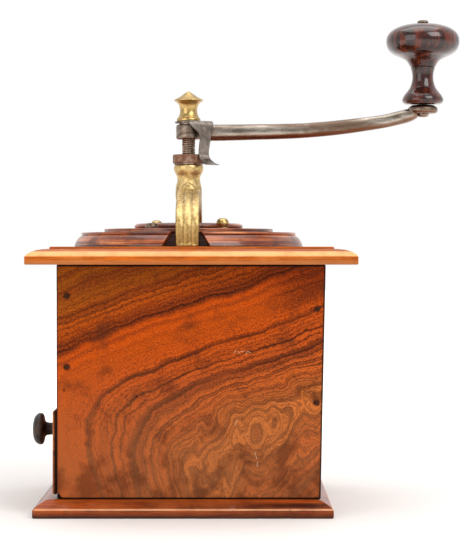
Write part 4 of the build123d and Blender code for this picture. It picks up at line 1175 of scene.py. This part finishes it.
def area_light(name, place, size, power):
    """Soft box that faces the grinder."""
    data = bpy.data.lights.new(name, "AREA")
    data.shape = "RECTANGLE"
    data.size, data.size_y = size
    data.energy = power
    light = bpy.data.objects.new(name, data)
    bpy.context.scene.collection.objects.link(light)
    light.location = place
    light.rotation_euler = (LIT_PLACE - Vector(place)).to_track_quat("-Z", "Y").to_euler()


def make_stage():
    """Pale floor, a white studio that is dimmer behind the camera, soft boxes, and the camera."""
    scene = bpy.context.scene
    world = bpy.data.worlds.new("studio")
    world.use_nodes = True
    tree = world.node_tree
    where = tree.nodes.new("ShaderNodeTexCoord")
    apart = tree.nodes.new("ShaderNodeSeparateXYZ")
    ramp = tree.nodes.new("ShaderNodeValToRGB")
    share = tree.nodes.new("ShaderNodeMapRange")
    share.inputs["From Min"].default_value = -1.0
    share.inputs["From Max"].default_value = 1.0
    for element, place, grey in zip(ramp.color_ramp.elements, (0.42, 0.70), (1.0, 0.45)):
        element.position = place
        element.color = (grey, grey, grey, 1)
    background = tree.nodes["Background"]
    for output, socket in ((where.outputs["Generated"], apart.inputs[0]),
                           (apart.outputs[0], share.inputs["Value"]), (share.outputs[0], ramp.inputs[0]),
                           (ramp.outputs[0], background.inputs["Color"])):
        tree.links.new(output, socket)
    background.inputs["Strength"].default_value = 1.0
    scene.world = world

    floor = bpy.data.meshes.new("floor")
    corners = [(-FLOOR_REACH, -FLOOR_REACH), (FLOOR_REACH, -FLOOR_REACH), (FLOOR_REACH, FLOOR_REACH),
               (-FLOOR_REACH, FLOOR_REACH)]
    floor.from_pydata([(x, y, 0) for x, y in corners], [], [(0, 1, 2, 3)])
    floor_object = bpy.data.objects.new("floor", floor)
    scene.collection.objects.link(floor_object)
    n = Nodes("floor_white")
    n.set(base_color=(0.745, 0.72, 0.695, 1), roughness=0.6, specular=0.3, glow_colour=(1, 1, 1, 1),
          glow=n.remap(n.length(n.place()), 0.16, 0.6, 0.04, 0.6, smooth=True))
    floor.materials.append(n.material)

    area_light("key_box", (0.9, 0.75, 0.95), (0.8, 0.8), 12.0)
    area_light("fill_box", (1.0, -0.9, 0.5), (0.9, 0.9), 6.0)
    area_light("top_box", (0.0, 0.0, 1.3), (1.2, 1.2), 10.0)

    data = bpy.data.cameras.new("camera")
    data.lens = CAMERA_LENS
    data.clip_start = 0.05
    camera = bpy.data.objects.new("camera", data)
    scene.collection.objects.link(camera)
    camera.location = CAMERA_PLACE
    camera.rotation_euler = (math.pi / 2 - CAMERA_DIP, 0, math.pi / 2)
    scene.camera = camera
    scene.view_settings.view_transform = "Standard"


materials = make_materials()
case_boards()
nails()
for side in range(len(PLINTH_SIDES)):
    plinth_strip(side)
moulded_top()
drawer_knob()
dome_ring()
dome_cap()
shutter_knobs()
bridge()
spindle()
crank_arm()
knob_pin()
finial()
catch_strap()
crank_knob()
finish_cad_nodes()
make_stage()
